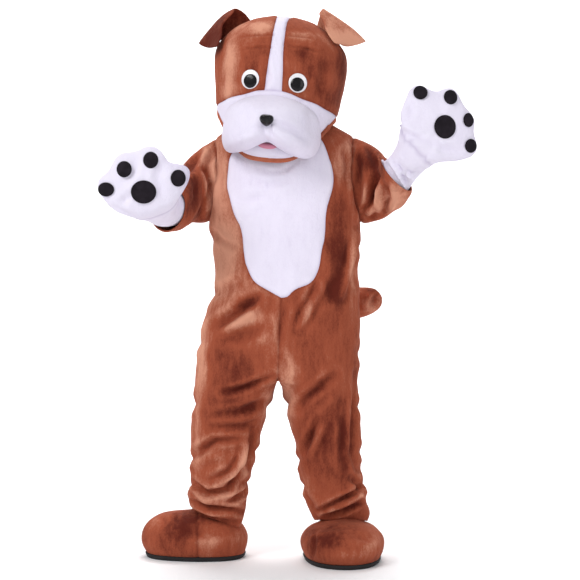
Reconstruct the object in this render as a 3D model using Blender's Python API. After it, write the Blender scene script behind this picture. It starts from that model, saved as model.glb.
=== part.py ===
"""Plush dog mascot costume, worn pose, nobody in it.

Sizes are in metres. X is across the costume, Y runs from its front to its
back, Z is up. Heights are measured from the floor under the soles, and the
whole costume then hangs from the wearer's shoulder line, which is z = 0.

The suit, the head and each mitt start as one shared skin of points. Seams
are cut in that skin, and every panel takes its own part of it, so that the
panels meet with an even gap and no wall crosses its neighbour.
"""

import math

import bpy
from mathutils import Matrix, Vector
from mathutils.bvhtree import BVHTree

SHOULDER_HEIGHT = 1.40
SEAM_GAP = 0.0003
SEAT_GAP = 0.0006
PLUSH_WALL = 0.003
HEAD_WALL = 0.008
MITT_WALL = 0.0035
BOOT_WALL = 0.006

BROWN = ("plush_brown", (0.33, 0.085, 0.035), 0.85)
WHITE = ("plush_white", (0.80, 0.77, 0.86), 0.85)
BAND = ("band_brown", (0.42, 0.15, 0.09), 0.8)
BLACK_FELT = ("felt_black", (0.018, 0.014, 0.018), 0.9)
BLACK_GLOSS = ("gloss_black", (0.010, 0.010, 0.012), 0.12)
WHITE_GLOSS = ("gloss_white", (0.82, 0.82, 0.84), 0.2)
PINK = ("plush_pink", (0.62, 0.22, 0.28), 0.7)
SOLE_BLACK = ("sole_black", (0.015, 0.013, 0.013), 0.7)

COLLECTION = "dog_mascot_costume"
HOLDER = "costume"
HEAD_HOLDER = "head_pose"


def material(kind):
    """One plain surface for a piece: name, base colour and roughness."""
    name, colour, roughness = kind
    made = bpy.data.materials.get(name)
    if made is None:
        made = bpy.data.materials.new(name)
        made.use_nodes = True
        shader = made.node_tree.nodes["Principled BSDF"]
        shader.inputs["Base Color"].default_value = (*colour, 1.0)
        shader.inputs["Roughness"].default_value = roughness
        shader.inputs["Metallic"].default_value = 0.0
        made.diffuse_color = (*colour, 1.0)
    return made


def blend(a, b, t):
    """The value a share t of the way from a to b."""
    return a + (b - a) * t


def ease(t):
    """Zero to one with level ends."""
    t = min(max(t, 0.0), 1.0)
    return t * t * (3.0 - 2.0 * t)


def column_at(rows, key, column):
    """Smooth value of one column of a table whose first column is the key."""
    if rows[0][0] > rows[-1][0]:
        rows = rows[::-1]
    if key <= rows[0][0]:
        return rows[0][column]
    if key >= rows[-1][0]:
        return rows[-1][column]
    at = 0
    while rows[at + 1][0] < key:
        at += 1
    before = rows[max(at - 1, 0)]
    low = rows[at]
    high = rows[at + 1]
    after = rows[min(at + 2, len(rows) - 1)]
    span = high[0] - low[0]
    t = (key - low[0]) / span
    slope_low = (high[column] - before[column]) / max(high[0] - before[0], 1e-9)
    slope_high = (after[column] - low[column]) / max(after[0] - low[0], 1e-9)
    cubed = t * t * t
    squared = t * t
    return ((2 * cubed - 3 * squared + 1) * low[column]
            + (cubed - 2 * squared + t) * span * slope_low
            + (3 * squared - 2 * cubed) * high[column]
            + (cubed - squared) * span * slope_high)


def around(table, angle):
    """Smooth radius at an angle in degrees from a table that goes all round."""
    first = table[0][0]
    angle = (angle - first) % 360.0 + first
    rows = [(table[-2][0] - 360.0, table[-2][1]), (table[-1][0] - 360.0, table[-1][1])]
    rows += [(row[0], row[1]) for row in table]
    rows += [(table[0][0] + 360.0, table[0][1]), (table[1][0] + 360.0, table[1][1])]
    return column_at(rows, angle, 1)


class Skin:
    """Points and three-cornered faces with a panel name on every face."""

    def __init__(self):
        self.points = []
        self.faces = []

    def add(self, point):
        self.points.append(Vector(point))
        return len(self.points) - 1

    def quad(self, a, b, c, d, panel):
        """Two faces, cut along the shorter way across."""
        across = (self.points[a] - self.points[c]).length
        other = (self.points[b] - self.points[d]).length
        if across <= other:
            self.faces.append((a, b, c, panel))
            self.faces.append((a, c, d, panel))
        else:
            self.faces.append((a, b, d, panel))
            self.faces.append((b, c, d, panel))

    def band(self, low, high, panels, closed=True):
        """Faces between two rows of points that have the same count."""
        count = len(low)
        last = count if closed else count - 1
        for i in range(last):
            j = (i + 1) % count
            name = panels[i] if isinstance(panels, list) else panels
            self.quad(low[i], low[j], high[j], high[i], name)

    def fan(self, pole, ring, panels, outward_first=True):
        """Faces between one point and a closed ring around it."""
        count = len(ring)
        for i in range(count):
            j = (i + 1) % count
            name = panels[i] if isinstance(panels, list) else panels
            if outward_first:
                self.faces.append((pole, ring[i], ring[j], name))
            else:
                self.faces.append((pole, ring[j], ring[i], name))

    def edge_panels(self):
        """For every edge, the names of the panels on its sides."""
        found = {}
        for a, b, c, name in self.faces:
            for i, j in ((a, b), (b, c), (c, a)):
                found.setdefault((min(i, j), max(i, j)), []).append(name)
        return found

    def cut(self, panels, field, inside, outside=None, snap=0.28):
        """Cuts the named panels along the line where the field is zero.

        Faces on the negative side get the name that inside gives them, and
        the others the name that outside gives. Points that lie close to the
        line are moved onto it first, so that no thin sliver is left.
        """
        level = {}
        for a, b, c, name in self.faces:
            if name in panels:
                for v in (a, b, c):
                    if v not in level:
                        level[v] = field(self.points[v])
        sides = self.edge_panels()
        seam_points = set()
        for (i, j), names in sides.items():
            if len(names) < 2 or names[0] != names[1]:
                seam_points.add(i)
                seam_points.add(j)
        nearest = {}
        for (i, j), names in sides.items():
            if not any(name in panels for name in names):
                continue
            if i not in level or j not in level or level[i] * level[j] >= 0.0:
                continue
            on_seam = len(names) < 2 or names[0] != names[1]
            share = level[i] / (level[i] - level[j])
            at = self.points[i].lerp(self.points[j], share)
            for v, near in ((i, share), (j, 1.0 - share)):
                if near > snap or (v in seam_points and not on_seam):
                    continue
                if v not in nearest or near < nearest[v][0]:
                    nearest[v] = (near, at)
        for v, (near, at) in nearest.items():
            self.points[v] = at
            level[v] = 0.0
        made = {}
        for (i, j), names in sides.items():
            if not any(name in panels for name in names):
                continue
            if i in level and j in level and level[i] * level[j] < 0.0:
                share = level[i] / (level[i] - level[j])
                middle = self.add(self.points[i].lerp(self.points[j], share))
                level[middle] = 0.0
                made[(i, j)] = middle
        faces = []
        for a, b, c, name in self.faces:
            for x, y, z in self.pieces_of(a, b, c, made):
                named = name
                if name in panels:
                    total = level[x] + level[y] + level[z]
                    if total == 0.0:
                        total = field((self.points[x] + self.points[y] + self.points[z]) / 3.0)
                    chosen = inside if total < 0.0 else outside
                    if isinstance(chosen, dict):
                        named = chosen[name]
                    elif chosen is not None:
                        named = chosen
                faces.append((x, y, z, named))
        self.faces = faces

    def pieces_of(self, a, b, c, made):
        """A face as it is, or the smaller faces that new edge points make."""
        def middle(i, j):
            return made.get((min(i, j), max(i, j)))
        corners = [a, b, c]
        for turn in range(3):
            i, j, k = corners[turn], corners[(turn + 1) % 3], corners[(turn + 2) % 3]
            ij, jk, ki = middle(i, j), middle(j, k), middle(k, i)
            if ij is not None and jk is not None and ki is not None:
                return [(i, ij, ki), (ij, j, jk), (jk, k, ki), (ij, jk, ki)]
            if ij is not None and jk is None and ki is None:
                return [(i, ij, k), (ij, j, k)]
            if ij is not None and ki is not None and jk is None:
                gap_a = (self.points[ij] - self.points[k]).length
                gap_b = (self.points[ki] - self.points[j]).length
                if gap_a < gap_b:
                    return [(i, ij, ki), (ij, j, k), (ij, k, ki)]
                return [(i, ij, ki), (ij, j, ki), (j, k, ki)]
        return [(a, b, c)]

    def drop(self, panel):
        """Takes a panel out of the skin."""
        self.faces = [face for face in self.faces if face[3] != panel]

    def loop(self, panel_filter=None, near=None):
        """The open edge nearest to a point, in the order of its points."""
        follow = {}
        seen = {}
        for a, b, c, name in self.faces:
            for i, j in ((a, b), (b, c), (c, a)):
                seen[(i, j)] = name
        for (i, j), name in seen.items():
            if (j, i) not in seen and (panel_filter is None or panel_filter(name)):
                follow[i] = j
        loops = []
        left = dict(follow)
        while left:
            start = next(iter(left))
            ring = [start]
            at = left.pop(start)
            while at != start and at in left:
                ring.append(at)
                at = left.pop(at)
            loops.append(ring)
        if near is None:
            return loops

        def distance(ring):
            middle = sum((self.points[v] for v in ring), Vector()) / len(ring)
            return (middle - Vector(near)).length
        return min(loops, key=distance)

    def normals(self):
        """One outward direction for every point, shared by all panels."""
        total = [Vector() for _ in self.points]
        for a, b, c, _ in self.faces:
            across = (self.points[b] - self.points[a]).cross(self.points[c] - self.points[a])
            if across.length < 1e-12:
                continue
            across.normalize()
            for v, w, u in ((a, b, c), (b, c, a), (c, a, b)):
                wide = (self.points[w] - self.points[v]).angle(self.points[u] - self.points[v], 0.0)
                total[v] += across * wide
        return [v.normalized() if v.length > 0 else Vector((0, 0, 1)) for v in total]


def inward(points, faces, gap):
    """How far each edge point of a panel moves in, to leave half the gap."""
    sides = {}
    for face in faces:
        for i in range(3):
            sides[(face[i], face[(i + 1) % 3])] = face
    ways = {}
    for (i, j), face in sides.items():
        if (j, i) in sides:
            continue
        a, b, c = (points[v] for v in face)
        facing = (b - a).cross(c - a)
        way = facing.cross(points[j] - points[i])
        if way.length > 0.0:
            way.normalize()
            ways.setdefault(i, []).append(way)
            ways.setdefault(j, []).append(way)
    moves = {}
    for v, found in ways.items():
        total = sum(found, Vector())
        if len(found) == 2:
            total = total / max(1.0 + found[0].dot(found[1]), 0.35)
        else:
            total = total / len(found)
        moves[v] = total * gap * 0.5
    return moves


def shell(node, outer, inner, faces, kind, holder=None):
    """One closed body from an outer side, an inner side and the edges between."""
    count = len(outer)
    sides = set()
    for face in faces:
        for i in range(3):
            sides.add((face[i], face[(i + 1) % 3]))
    closed = [tuple(face) for face in faces]
    closed += [(c + count, b + count, a + count) for a, b, c in faces]
    for i, j in sorted(sides):
        if (j, i) in sides:
            continue
        if i < j:
            closed.append((j, i, j + count))
            closed.append((i, i + count, j + count))
        else:
            closed.append((j, i, i + count))
            closed.append((j, i + count, j + count))
    mesh = bpy.data.meshes.new(node)
    mesh.from_pydata([tuple(p) for p in list(outer) + list(inner)], [], closed)
    mesh.validate()
    mesh.update()
    made = bpy.data.objects.new(node, mesh)
    made.data.materials.append(material(kind))
    bpy.data.collections[COLLECTION].objects.link(made)
    made.parent = bpy.data.objects[holder or HOLDER]
    return made


def panel_piece(skin, panel, node, kind, wall, normals, holder=None):
    """The wall of one panel, pulled in along its edges by half the seam gap."""
    chosen = [face[:3] for face in skin.faces if face[3] == panel]
    used = sorted({v for face in chosen for v in face})
    place = {v: i for i, v in enumerate(used)}
    faces = [tuple(place[v] for v in face) for face in chosen]
    points = [skin.points[v] for v in used]
    moves = inward(points, faces, SEAM_GAP)
    outer = []
    inner = []
    for i, v in enumerate(used):
        at = points[i] + moves.get(i, Vector())
        outer.append(at)
        inner.append(at - normals[v] * wall)
    return shell(node, outer, inner, faces, kind, holder)


def tree_of(skin):
    """The skin as a surface that rays can be aimed at."""
    return BVHTree.FromPolygons(skin.points, [face[:3] for face in skin.faces])


def disc_faces(segments, rings):
    """Faces of a pole, and of rings round it, that are numbered outwards."""
    faces = []
    for i in range(segments):
        j = (i + 1) % segments
        faces.append((0, 1 + i, 1 + j))
        for ring in range(rings - 1):
            low = 1 + ring * segments
            high = low + segments
            faces.append((low + i, high + i, high + j))
            faces.append((low + i, high + j, low + j))
    return faces


SPREAD = [(1.0, 0.0, 0.0), (0.0, 1.0, 0.0), (0.0, 0.0, 1.0), (0.5, 0.5, 0.0),
          (0.0, 0.5, 0.5), (0.5, 0.0, 0.5), (0.75, 0.25, 0.0), (0.25, 0.75, 0.0),
          (0.0, 0.75, 0.25), (0.0, 0.25, 0.75), (0.75, 0.0, 0.25), (0.25, 0.0, 0.75),
          (0.34, 0.33, 0.33), (0.6, 0.2, 0.2), (0.2, 0.6, 0.2), (0.2, 0.2, 0.6)]


def lift_clear(back, front, faces, tree, facing, gap):
    """Moves a sewn-on piece out until all of its back clears what it lies on."""
    for _ in range(4):
        need = {}
        for face in faces:
            corners = [back[v] for v in face]
            for a, b, c in SPREAD:
                spot = corners[0] * a + corners[1] * b + corners[2] * c
                hit = tree.ray_cast(spot + facing * 0.30, -facing)[0]
                if hit is None:
                    continue
                short = gap - (spot - hit).dot(facing)
                if short > 1e-6:
                    for v in face:
                        need[v] = max(need.get(v, 0.0), short)
        if not need:
            return
        for v, move in need.items():
            back[v] = back[v] + facing * move
            front[v] = front[v] + facing * move


def seated(node, kind, tree, frame, radius, shares, profile, gap, segments=16, holder=None):
    """A pad, disc or stuffed form that follows the surface it is sewn on.

    The frame is (middle, right, up, facing); radius gives the outline for an
    angle in degrees; shares are the rings from the middle out; profile gives
    the thickness for a share and an angle.
    """
    middle, right, up, facing = frame
    front = []
    back = []
    spots = [(0.0, 0.0)]
    for share in shares:
        spots += [(share, 360.0 * i / segments) for i in range(segments)]
    for share, angle in spots:
        turn = math.radians(angle)
        size = radius(angle) * share
        spot = middle + right * (size * math.cos(turn)) + up * (size * math.sin(turn))
        hit = tree.ray_cast(spot + facing * 0.30, -facing)[0]
        if hit is None:
            hit = tree.find_nearest(spot)[0]
        back.append(hit + facing * gap)
        front.append(hit + facing * (gap + profile(share, angle)))
    faces = disc_faces(segments, len(shares))
    lift_clear(back, front, faces, tree, facing, gap)
    return shell(node, front, back, faces, kind, holder)


# Trunk sections: height, viewer's left edge, right edge, front depth, back
# depth, roundness of the oval.
TRUNK = [
    (0.600, -0.302, 0.247, 0.150, 0.160, 2.5),
    (0.672, -0.298, 0.249, 0.156, 0.170, 2.5),
    (0.758, -0.280, 0.254, 0.160, 0.171, 2.4),
    (0.800, -0.268, 0.254, 0.161, 0.168, 2.4),
    (0.838, -0.256, 0.251, 0.162, 0.162, 2.4),
    (0.880, -0.234, 0.249, 0.164, 0.153, 2.4),
    (0.925, -0.233, 0.246, 0.166, 0.145, 2.4),
    (0.970, -0.238, 0.247, 0.166, 0.138, 2.4),
    (1.060, -0.243, 0.253, 0.163, 0.130, 2.4),
    (1.105, -0.254, 0.255, 0.160, 0.130, 2.4),
    (1.150, -0.256, 0.254, 0.158, 0.131, 2.4),
    (1.240, -0.255, 0.250, 0.156, 0.132, 2.4),
    (1.325, -0.252, 0.246, 0.150, 0.128, 2.4),
    (1.360, -0.247, 0.241, 0.142, 0.121, 2.4),
    (1.388, -0.236, 0.230, 0.129, 0.110, 2.4),
    (1.410, -0.214, 0.211, 0.114, 0.098, 2.3),
    (1.430, -0.180, 0.180, 0.100, 0.087, 2.2),
    (1.448, -0.143, 0.145, 0.086, 0.076, 2.1),
    (1.464, -0.110, 0.113, 0.074, 0.067, 2.0),
    (1.476, -0.088, 0.091, 0.065, 0.060, 2.0),
]
# Middle of the trunk across the front and the back: height, place.
MIDDLE = [(0.60, -0.022), (0.75, -0.018), (0.90, -0.010), (1.10, 0.0), (1.476, 0.001)]
HALF_STEPS = 12

# Leg sections, viewer's left then right: height, outer edge, inner edge,
# front, back, how far the section is lifted on the toe side.
LEG_LEFT = [
    (0.562, -0.306, -0.031, -0.146, 0.156, 0.0),
    (0.520, -0.309, -0.045, -0.138, 0.148, 0.0),
    (0.475, -0.313, -0.060, -0.129, 0.139, 0.0),
    (0.430, -0.316, -0.072, -0.121, 0.131, 0.0),
    (0.390, -0.319, -0.083, -0.114, 0.125, 0.0),
    (0.350, -0.316, -0.090, -0.105, 0.124, 0.0),
    (0.312, -0.321, -0.096, -0.106, 0.126, 0.0),
    (0.276, -0.314, -0.114, -0.094, 0.120, 0.0),
    (0.245, -0.316, -0.112, -0.096, 0.124, 0.002),
    (0.216, -0.328, -0.130, -0.082, 0.126, 0.006),
    (0.188, -0.319, -0.125, -0.086, 0.131, 0.012),
    (0.162, -0.324, -0.132, -0.072, 0.130, 0.022),
    (0.1363, -0.317, -0.139, -0.056, 0.124, 0.030),
]
LEG_RIGHT = [
    (0.562, -0.011, 0.247, -0.146, 0.156, 0.0),
    (0.520, -0.002, 0.247, -0.138, 0.148, 0.0),
    (0.475, 0.008, 0.253, -0.129, 0.140, 0.0),
    (0.430, 0.019, 0.256, -0.122, 0.132, 0.0),
    (0.390, 0.031, 0.255, -0.114, 0.126, 0.0),
    (0.350, 0.036, 0.258, -0.110, 0.122, 0.0),
    (0.312, 0.041, 0.254, -0.105, 0.121, 0.0),
    (0.276, 0.046, 0.250, -0.098, 0.120, 0.0),
    (0.245, 0.054, 0.273, -0.100, 0.124, 0.0),
    (0.216, 0.058, 0.280, -0.088, 0.119, 0.004),
    (0.188, 0.066, 0.264, -0.092, 0.121, 0.008),
    (0.162, 0.074, 0.288, -0.080, 0.120, 0.012),
    (0.1242, 0.088, 0.286, -0.062, 0.112, 0.014),
]
LEG_TOE_WAY = {"left": Vector((-1.0, 0.0, 0.0)), "right": Vector((0.0, -1.0, 0.0))}
CROTCH_POINTS = 3

# Edge of the white belly panel on the front: height, left edge, right edge.
BELLY = [
    (1.470, -0.070, 0.060),
    (1.420, -0.110, 0.092),
    (1.380, -0.145, 0.122),
    (1.340, -0.174, 0.145),
    (1.298, -0.196, 0.160),
    (1.257, -0.202, 0.162),
    (1.209, -0.198, 0.151),
    (1.165, -0.181, 0.136),
    (1.124, -0.156, 0.128),
    (1.083, -0.142, 0.127),
    (1.035, -0.138, 0.126),
    (0.987, -0.132, 0.120),
    (0.939, -0.118, 0.106),
    (0.909, -0.096, 0.082),
    (0.887, -0.060, 0.048),
    (0.872, -0.022, 0.018),
]
BELLY_FOOT = 0.866

# Armhole: its middle and half sizes front to back and up.
ARMHOLE_Y = 0.0
ARMHOLE_Z = 1.257
ARMHOLE_DEPTH = 0.093
ARMHOLE_RISE = 0.143

# Sleeve sections: top point x, z; bottom point x, z; middle y; half depth;
# how far the section turns to face the front, in degrees.
SLEEVE_LEFT = [
    (-0.268, 1.378, -0.276, 1.110, -0.004, 0.102, 6.0),
    (-0.291, 1.357, -0.293, 1.110, -0.020, 0.100, 16.0),
    (-0.312, 1.329, -0.316, 1.112, -0.046, 0.094, 29.0),
    (-0.330, 1.300, -0.330, 1.096, -0.084, 0.088, 42.0),
    (-0.343, 1.274, -0.346, 1.082, -0.126, 0.084, 53.0),
    (-0.355, 1.252, -0.362, 1.074, -0.172, 0.079, 61.0),
    (-0.368, 1.232, -0.380, 1.070, -0.218, 0.074, 66.0),
]
SLEEVE_RIGHT = [
    (0.262, 1.385, 0.270, 1.106, -0.004, 0.102, 4.0),
    (0.286, 1.374, 0.297, 1.114, -0.018, 0.098, 8.0),
    (0.304, 1.360, 0.328, 1.128, -0.038, 0.092, 12.0),
    (0.311, 1.350, 0.356, 1.142, -0.064, 0.087, 16.0),
    (0.311, 1.338, 0.379, 1.160, -0.094, 0.083, 20.0),
    (0.308, 1.327, 0.400, 1.182, -0.126, 0.080, 23.0),
    (0.304, 1.317, 0.414, 1.207, -0.158, 0.077, 25.0),
]

# Largest folds: kind of part, x and z where the fold starts and ends, half
# width, depth (a trough is positive), and the side it lies on.
FOLDS = [
    ("front", -0.118, 0.862, -0.236, 0.765, 0.022, 0.0080),
    ("front", -0.060, 0.600, -0.190, 0.560, 0.018, 0.0060),
    ("front", -0.070, 0.520, -0.215, 0.498, 0.020, 0.0060),
    ("front", -0.100, 0.445, -0.225, 0.425, 0.018, 0.0045),
    ("front", -0.318, 0.335, -0.236, 0.388, 0.020, 0.0090),
    ("front", -0.130, 0.380, -0.142, 0.268, 0.018, 0.0060),
    ("front", -0.318, 0.258, -0.205, 0.212, 0.018, 0.0070),
    ("front", -0.205, 0.212, -0.140, 0.245, 0.018, 0.0060),
    ("front", 0.180, 0.610, 0.062, 0.528, 0.020, 0.0070),
    ("front", 0.162, 0.556, 0.074, 0.336, 0.020, 0.0070),
    ("front", 0.118, 0.905, 0.052, 0.732, 0.022, -0.0050),
    ("front", 0.214, 0.760, 0.232, 0.470, 0.018, 0.0060),
    ("front", 0.236, 1.072, 0.176, 0.868, 0.020, -0.0060),
    ("front", 0.250, 0.300, 0.150, 0.262, 0.018, 0.0060),
    ("front", -0.100, 1.300, 0.070, 1.285, 0.018, 0.0040),
    ("back", -0.200, 1.060, 0.050, 0.985, 0.022, 0.0070),
    ("back", 0.200, 1.020, -0.040, 0.930, 0.020, 0.0060),
    ("back", -0.040, 0.650, -0.230, 0.590, 0.020, 0.0070),
    ("back", 0.030, 0.640, 0.200, 0.575, 0.020, 0.0070),
    ("back", -0.300, 0.350, -0.120, 0.385, 0.020, 0.0080),
    ("back", 0.060, 0.372, 0.230, 0.340, 0.020, 0.0080),
    ("back", -0.120, 1.230, -0.080, 1.060, 0.020, 0.0050),
    ("back", 0.130, 1.210, 0.080, 1.050, 0.020, 0.0050),
]


def oval(angle, left, right, middle, front, back, roundness):
    """A point of a rounded oval; the angle runs from the front to the right."""
    c = math.cos(angle)
    s = math.sin(angle)
    power = 2.0 / roundness
    side = math.copysign(abs(s) ** power, s)
    depth = math.copysign(abs(c) ** power, c)
    x = middle + side * ((middle - left) if side < 0.0 else (right - middle))
    y = -depth * (front if depth > 0.0 else back)
    return x, y


def fold_push(x, z, side):
    """How deep the folds pull the cloth in at a place on the front or back."""
    total = 0.0
    for kind, x0, z0, x1, z1, width, depth in FOLDS:
        if kind != side:
            continue
        along = Vector((x1 - x0, z1 - z0))
        length = along.length
        t = ((x - x0) * along.x + (z - z0) * along.y) / (length * length)
        if t < -0.1 or t > 1.1:
            continue
        off = abs((x - x0) * along.y - (z - z0) * along.x) / length
        fade = ease((t + 0.1) / 0.35) * ease((1.1 - t) / 0.35)
        total += depth * fade * math.exp(-(off / width) ** 2)
    return total


def ring_points(skin, section, angles, middle=None, lift=0.0, toe=None):
    """One row of points round a section of the trunk or of a leg."""
    z, left, right, front, back, roundness = section
    if middle is None:
        middle = 0.5 * (left + right)
    row = []
    for angle in angles:
        x, y = oval(angle, left, right, middle, front, back, roundness)
        rise = 0.0
        if toe is not None:
            half = 0.5 * (right - left)
            centre_y = 0.5 * (back - front)
            rise = lift * ((x - middle) * toe.x + (y - centre_y) * toe.y) / half
        row.append(skin.add((x, y, z + rise)))
    return row


def build_trunk(skin):
    """The trunk tube; gives back its lowest row of points."""
    count = 2 * HALF_STEPS
    quarter = HALF_STEPS // 2
    names = (["front_right"] * quarter + ["back_right"] * quarter
             + ["back_left"] * quarter + ["front_left"] * quarter)
    angles = [2.0 * math.pi * i / count for i in range(count)]
    rows = []
    for section in TRUNK:
        middle = column_at(MIDDLE, section[0], 1)
        rows.append(ring_points(skin, section, angles, middle))
    for low, high in zip(rows, rows[1:]):
        skin.band(low, high, names)
    return rows[0]


def build_leg(skin, side, top, table):
    """A leg that hangs from its half of the trunk's lowest row."""
    quarter = HALF_STEPS // 2
    inner = CROTCH_POINTS // 2 + 1
    count = HALF_STEPS + 2 * inner
    step = 2.0 * math.pi / count
    first = -step * quarter + math.pi * 0.5
    names = ["front_" + side] * quarter + ["back_" + side] * (quarter + inner)
    names += ["front_" + side] * inner
    if side == "left":
        first = -step * quarter + math.pi * 1.5
        names = ["back_" + side] * quarter + ["front_" + side] * (quarter + inner)
        names += ["back_" + side] * inner
    angles = [first + step * i for i in range(count)]
    above = top
    for z, outer, near, front, back, lift in table:
        left, right = min(outer, near), max(outer, near)
        row = ring_points(skin, (z, left, right, -front, back, 2.15), angles,
                          lift=lift, toe=LEG_TOE_WAY[side])
        skin.band(row, above, names)
        above = row


def sleeve_frame(table, k, sign):
    """Middle of a sleeve section, its up and near ways, and its half sizes."""
    top_x, top_z, low_x, low_z, y, depth, lean = table[k]
    top = Vector((top_x, y, top_z))
    low = Vector((low_x, y, low_z))
    up = (top - low).normalized()
    across = Vector((sign * up.z, 0.0, -sign * up.x))
    lean = math.radians(lean)
    near = Vector((0.0, -math.cos(lean), 0.0)) - across * math.sin(lean)
    return (top + low) * 0.5, up, near, (top - low).length * 0.5, depth


# Section of a sleeve from which its points are evenly spaced.
EVEN_BY = 3


def evened(turns):
    """Turns round a ring as one run, and the same ring in equal steps."""
    count = len(turns)
    run = [turns[0]]
    for turn in turns[1:]:
        run.append(turn + 2.0 * math.pi * round((run[-1] - turn) / (2.0 * math.pi)))
    way_round = 1.0 if run[-1] > run[0] else -1.0
    even = [way_round * 2.0 * math.pi * i / count for i in range(count)]
    start = sum(a - b for a, b in zip(run, even)) / count
    return run, [start + step for step in even]


def build_sleeve(skin, side, table):
    """A sleeve that starts on the edge of the armhole itself."""
    sign = -1.0 if side == "left" else 1.0
    edge = skin.loop(near=(sign * 0.24, ARMHOLE_Y, ARMHOLE_Z))[::-1]
    turns = []
    for v in edge:
        at = skin.points[v]
        forward = -(at.y - ARMHOLE_Y) / ARMHOLE_DEPTH
        rise = (at.z - ARMHOLE_Z) / ARMHOLE_RISE
        turns.append(math.atan2(forward, rise))
    turns, even = evened(turns)
    above = edge
    for k in range(len(table)):
        centre, up, near, half, depth = sleeve_frame(table, k, sign)
        share = ease(k / EVEN_BY)
        row = []
        for turn, level in zip(turns, even):
            turn = blend(turn, level, share)
            crease = sleeve_crease(side, k, math.degrees(turn))
            row.append(skin.add(centre + up * (half * math.cos(turn) * crease)
                                + near * (depth * math.sin(turn) * crease)))
        skin.band(above, row, "sleeve_" + side)
        above = row


# Sleeve folds: side, section, where round the sleeve in degrees (0 is the
# top, 90 the front), half width in degrees, share of the radius it takes.
SLEEVE_FOLDS = [
    ("left", 1, 60.0, 22.0, -0.030),
    ("left", 2, 110.0, 24.0, -0.060),
    ("left", 3, 75.0, 22.0, 0.030),
    ("left", 3, 120.0, 22.0, -0.050),
    ("left", 4, 160.0, 26.0, -0.050),
    ("left", 5, 90.0, 24.0, -0.040),
    ("right", 2, 80.0, 26.0, -0.060),
    ("right", 3, 90.0, 24.0, 0.040),
    ("right", 3, 20.0, 24.0, -0.050),
    ("right", 4, 75.0, 26.0, -0.070),
    ("right", 4, 150.0, 24.0, 0.030),
    ("right", 5, 100.0, 26.0, 0.020),
]


def sleeve_crease(side, section, turn):
    """Share of the radius that is left where folds cross a sleeve."""
    size = 1.0
    for which, at, middle, width, depth in SLEEVE_FOLDS:
        if which == side and at == section:
            off = (turn - middle + 180.0) % 360.0 - 180.0
            size += depth * math.exp(-(off / width) ** 2)
    return size


def belly_field(point):
    """Negative inside the white belly panel."""
    if point.y > 0.0:
        return 0.05
    left = column_at(BELLY, point.z, 1)
    right = column_at(BELLY, point.z, 2)
    return max(left - point.x, point.x - right, BELLY_FOOT - point.z)


def armhole_field(point):
    """Negative inside an armhole."""
    y = (point.y - ARMHOLE_Y) / ARMHOLE_DEPTH
    z = (point.z - ARMHOLE_Z) / ARMHOLE_RISE
    return math.hypot(y, z) - 1.0


def build_suit_skin():
    """Trunk, legs and sleeves as one skin with its seams cut in."""
    skin = Skin()
    hip = build_trunk(skin)
    middle = column_at(MIDDLE, TRUNK[0][0], 1)
    front, back = TRUNK[0][3], TRUNK[0][4]
    spots = CROTCH_POINTS + 1
    under = [skin.add((middle, blend(-front, back, i / spots), TRUNK[0][0] - 0.004))
             for i in range(1, spots)]
    right = hip[:HALF_STEPS + 1] + under[::-1]
    left = hip[HALF_STEPS:] + [hip[0]] + under
    build_leg(skin, "right", right, LEG_RIGHT)
    build_leg(skin, "left", left, LEG_LEFT)
    for v, facing in enumerate(skin.normals()):
        at = skin.points[v]
        side = "front" if facing.y < 0.0 else "back"
        skin.points[v] = at - facing * (fold_push(at.x, at.z, side) * abs(facing.y))
    for side in ("left", "right"):
        skin.cut(("front_" + side, "back_" + side), armhole_field, "hole_" + side)
        skin.drop("hole_" + side)
    build_sleeve(skin, "left", SLEEVE_LEFT)
    build_sleeve(skin, "right", SLEEVE_RIGHT)
    skin.cut(("front_left", "front_right"), belly_field, "belly")
    return skin


PLACKET_ROWS = 13
PLACKET_TOP = 1.452
PLACKET_FOOT = 0.945
PLACKET_HALF = 0.019
PLACKET_WALL = 0.003


def laid_strip(node, kind, tree, rows, facing, gap, wall):
    """A flat strip that follows the surface under it, row by row."""
    outer = []
    inner = []
    for row in rows:
        for spot in row:
            hit = tree.ray_cast(Vector(spot) + facing * 0.5, -facing)[0]
            inner.append(hit + facing * gap)
            outer.append(hit + facing * (gap + wall))
    faces = []
    wide = len(rows[0])
    for r in range(len(rows) - 1):
        for i in range(wide - 1):
            a = r * wide + i
            faces.append((a, a + 1, a + wide + 1))
            faces.append((a, a + wide + 1, a + wide))
    lift_clear(inner, outer, faces, tree, facing, gap)
    return shell(node, outer, inner, faces, kind)


# Tail: centre x, y, z of each section and its radius, from the root outwards.
TAIL = [
    (0.030, 0.176, 0.846, 0.046),
    (0.046, 0.222, 0.847, 0.047),
    (0.085, 0.243, 0.847, 0.054),
    (0.150, 0.247, 0.844, 0.058),
    (0.210, 0.235, 0.843, 0.060),
    (0.262, 0.215, 0.848, 0.057),
    (0.300, 0.200, 0.858, 0.048),
    (0.324, 0.192, 0.868, 0.034),
]
TAIL_TIP = (0.336, 0.188, 0.874)
TAIL_SIDES = 12


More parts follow.
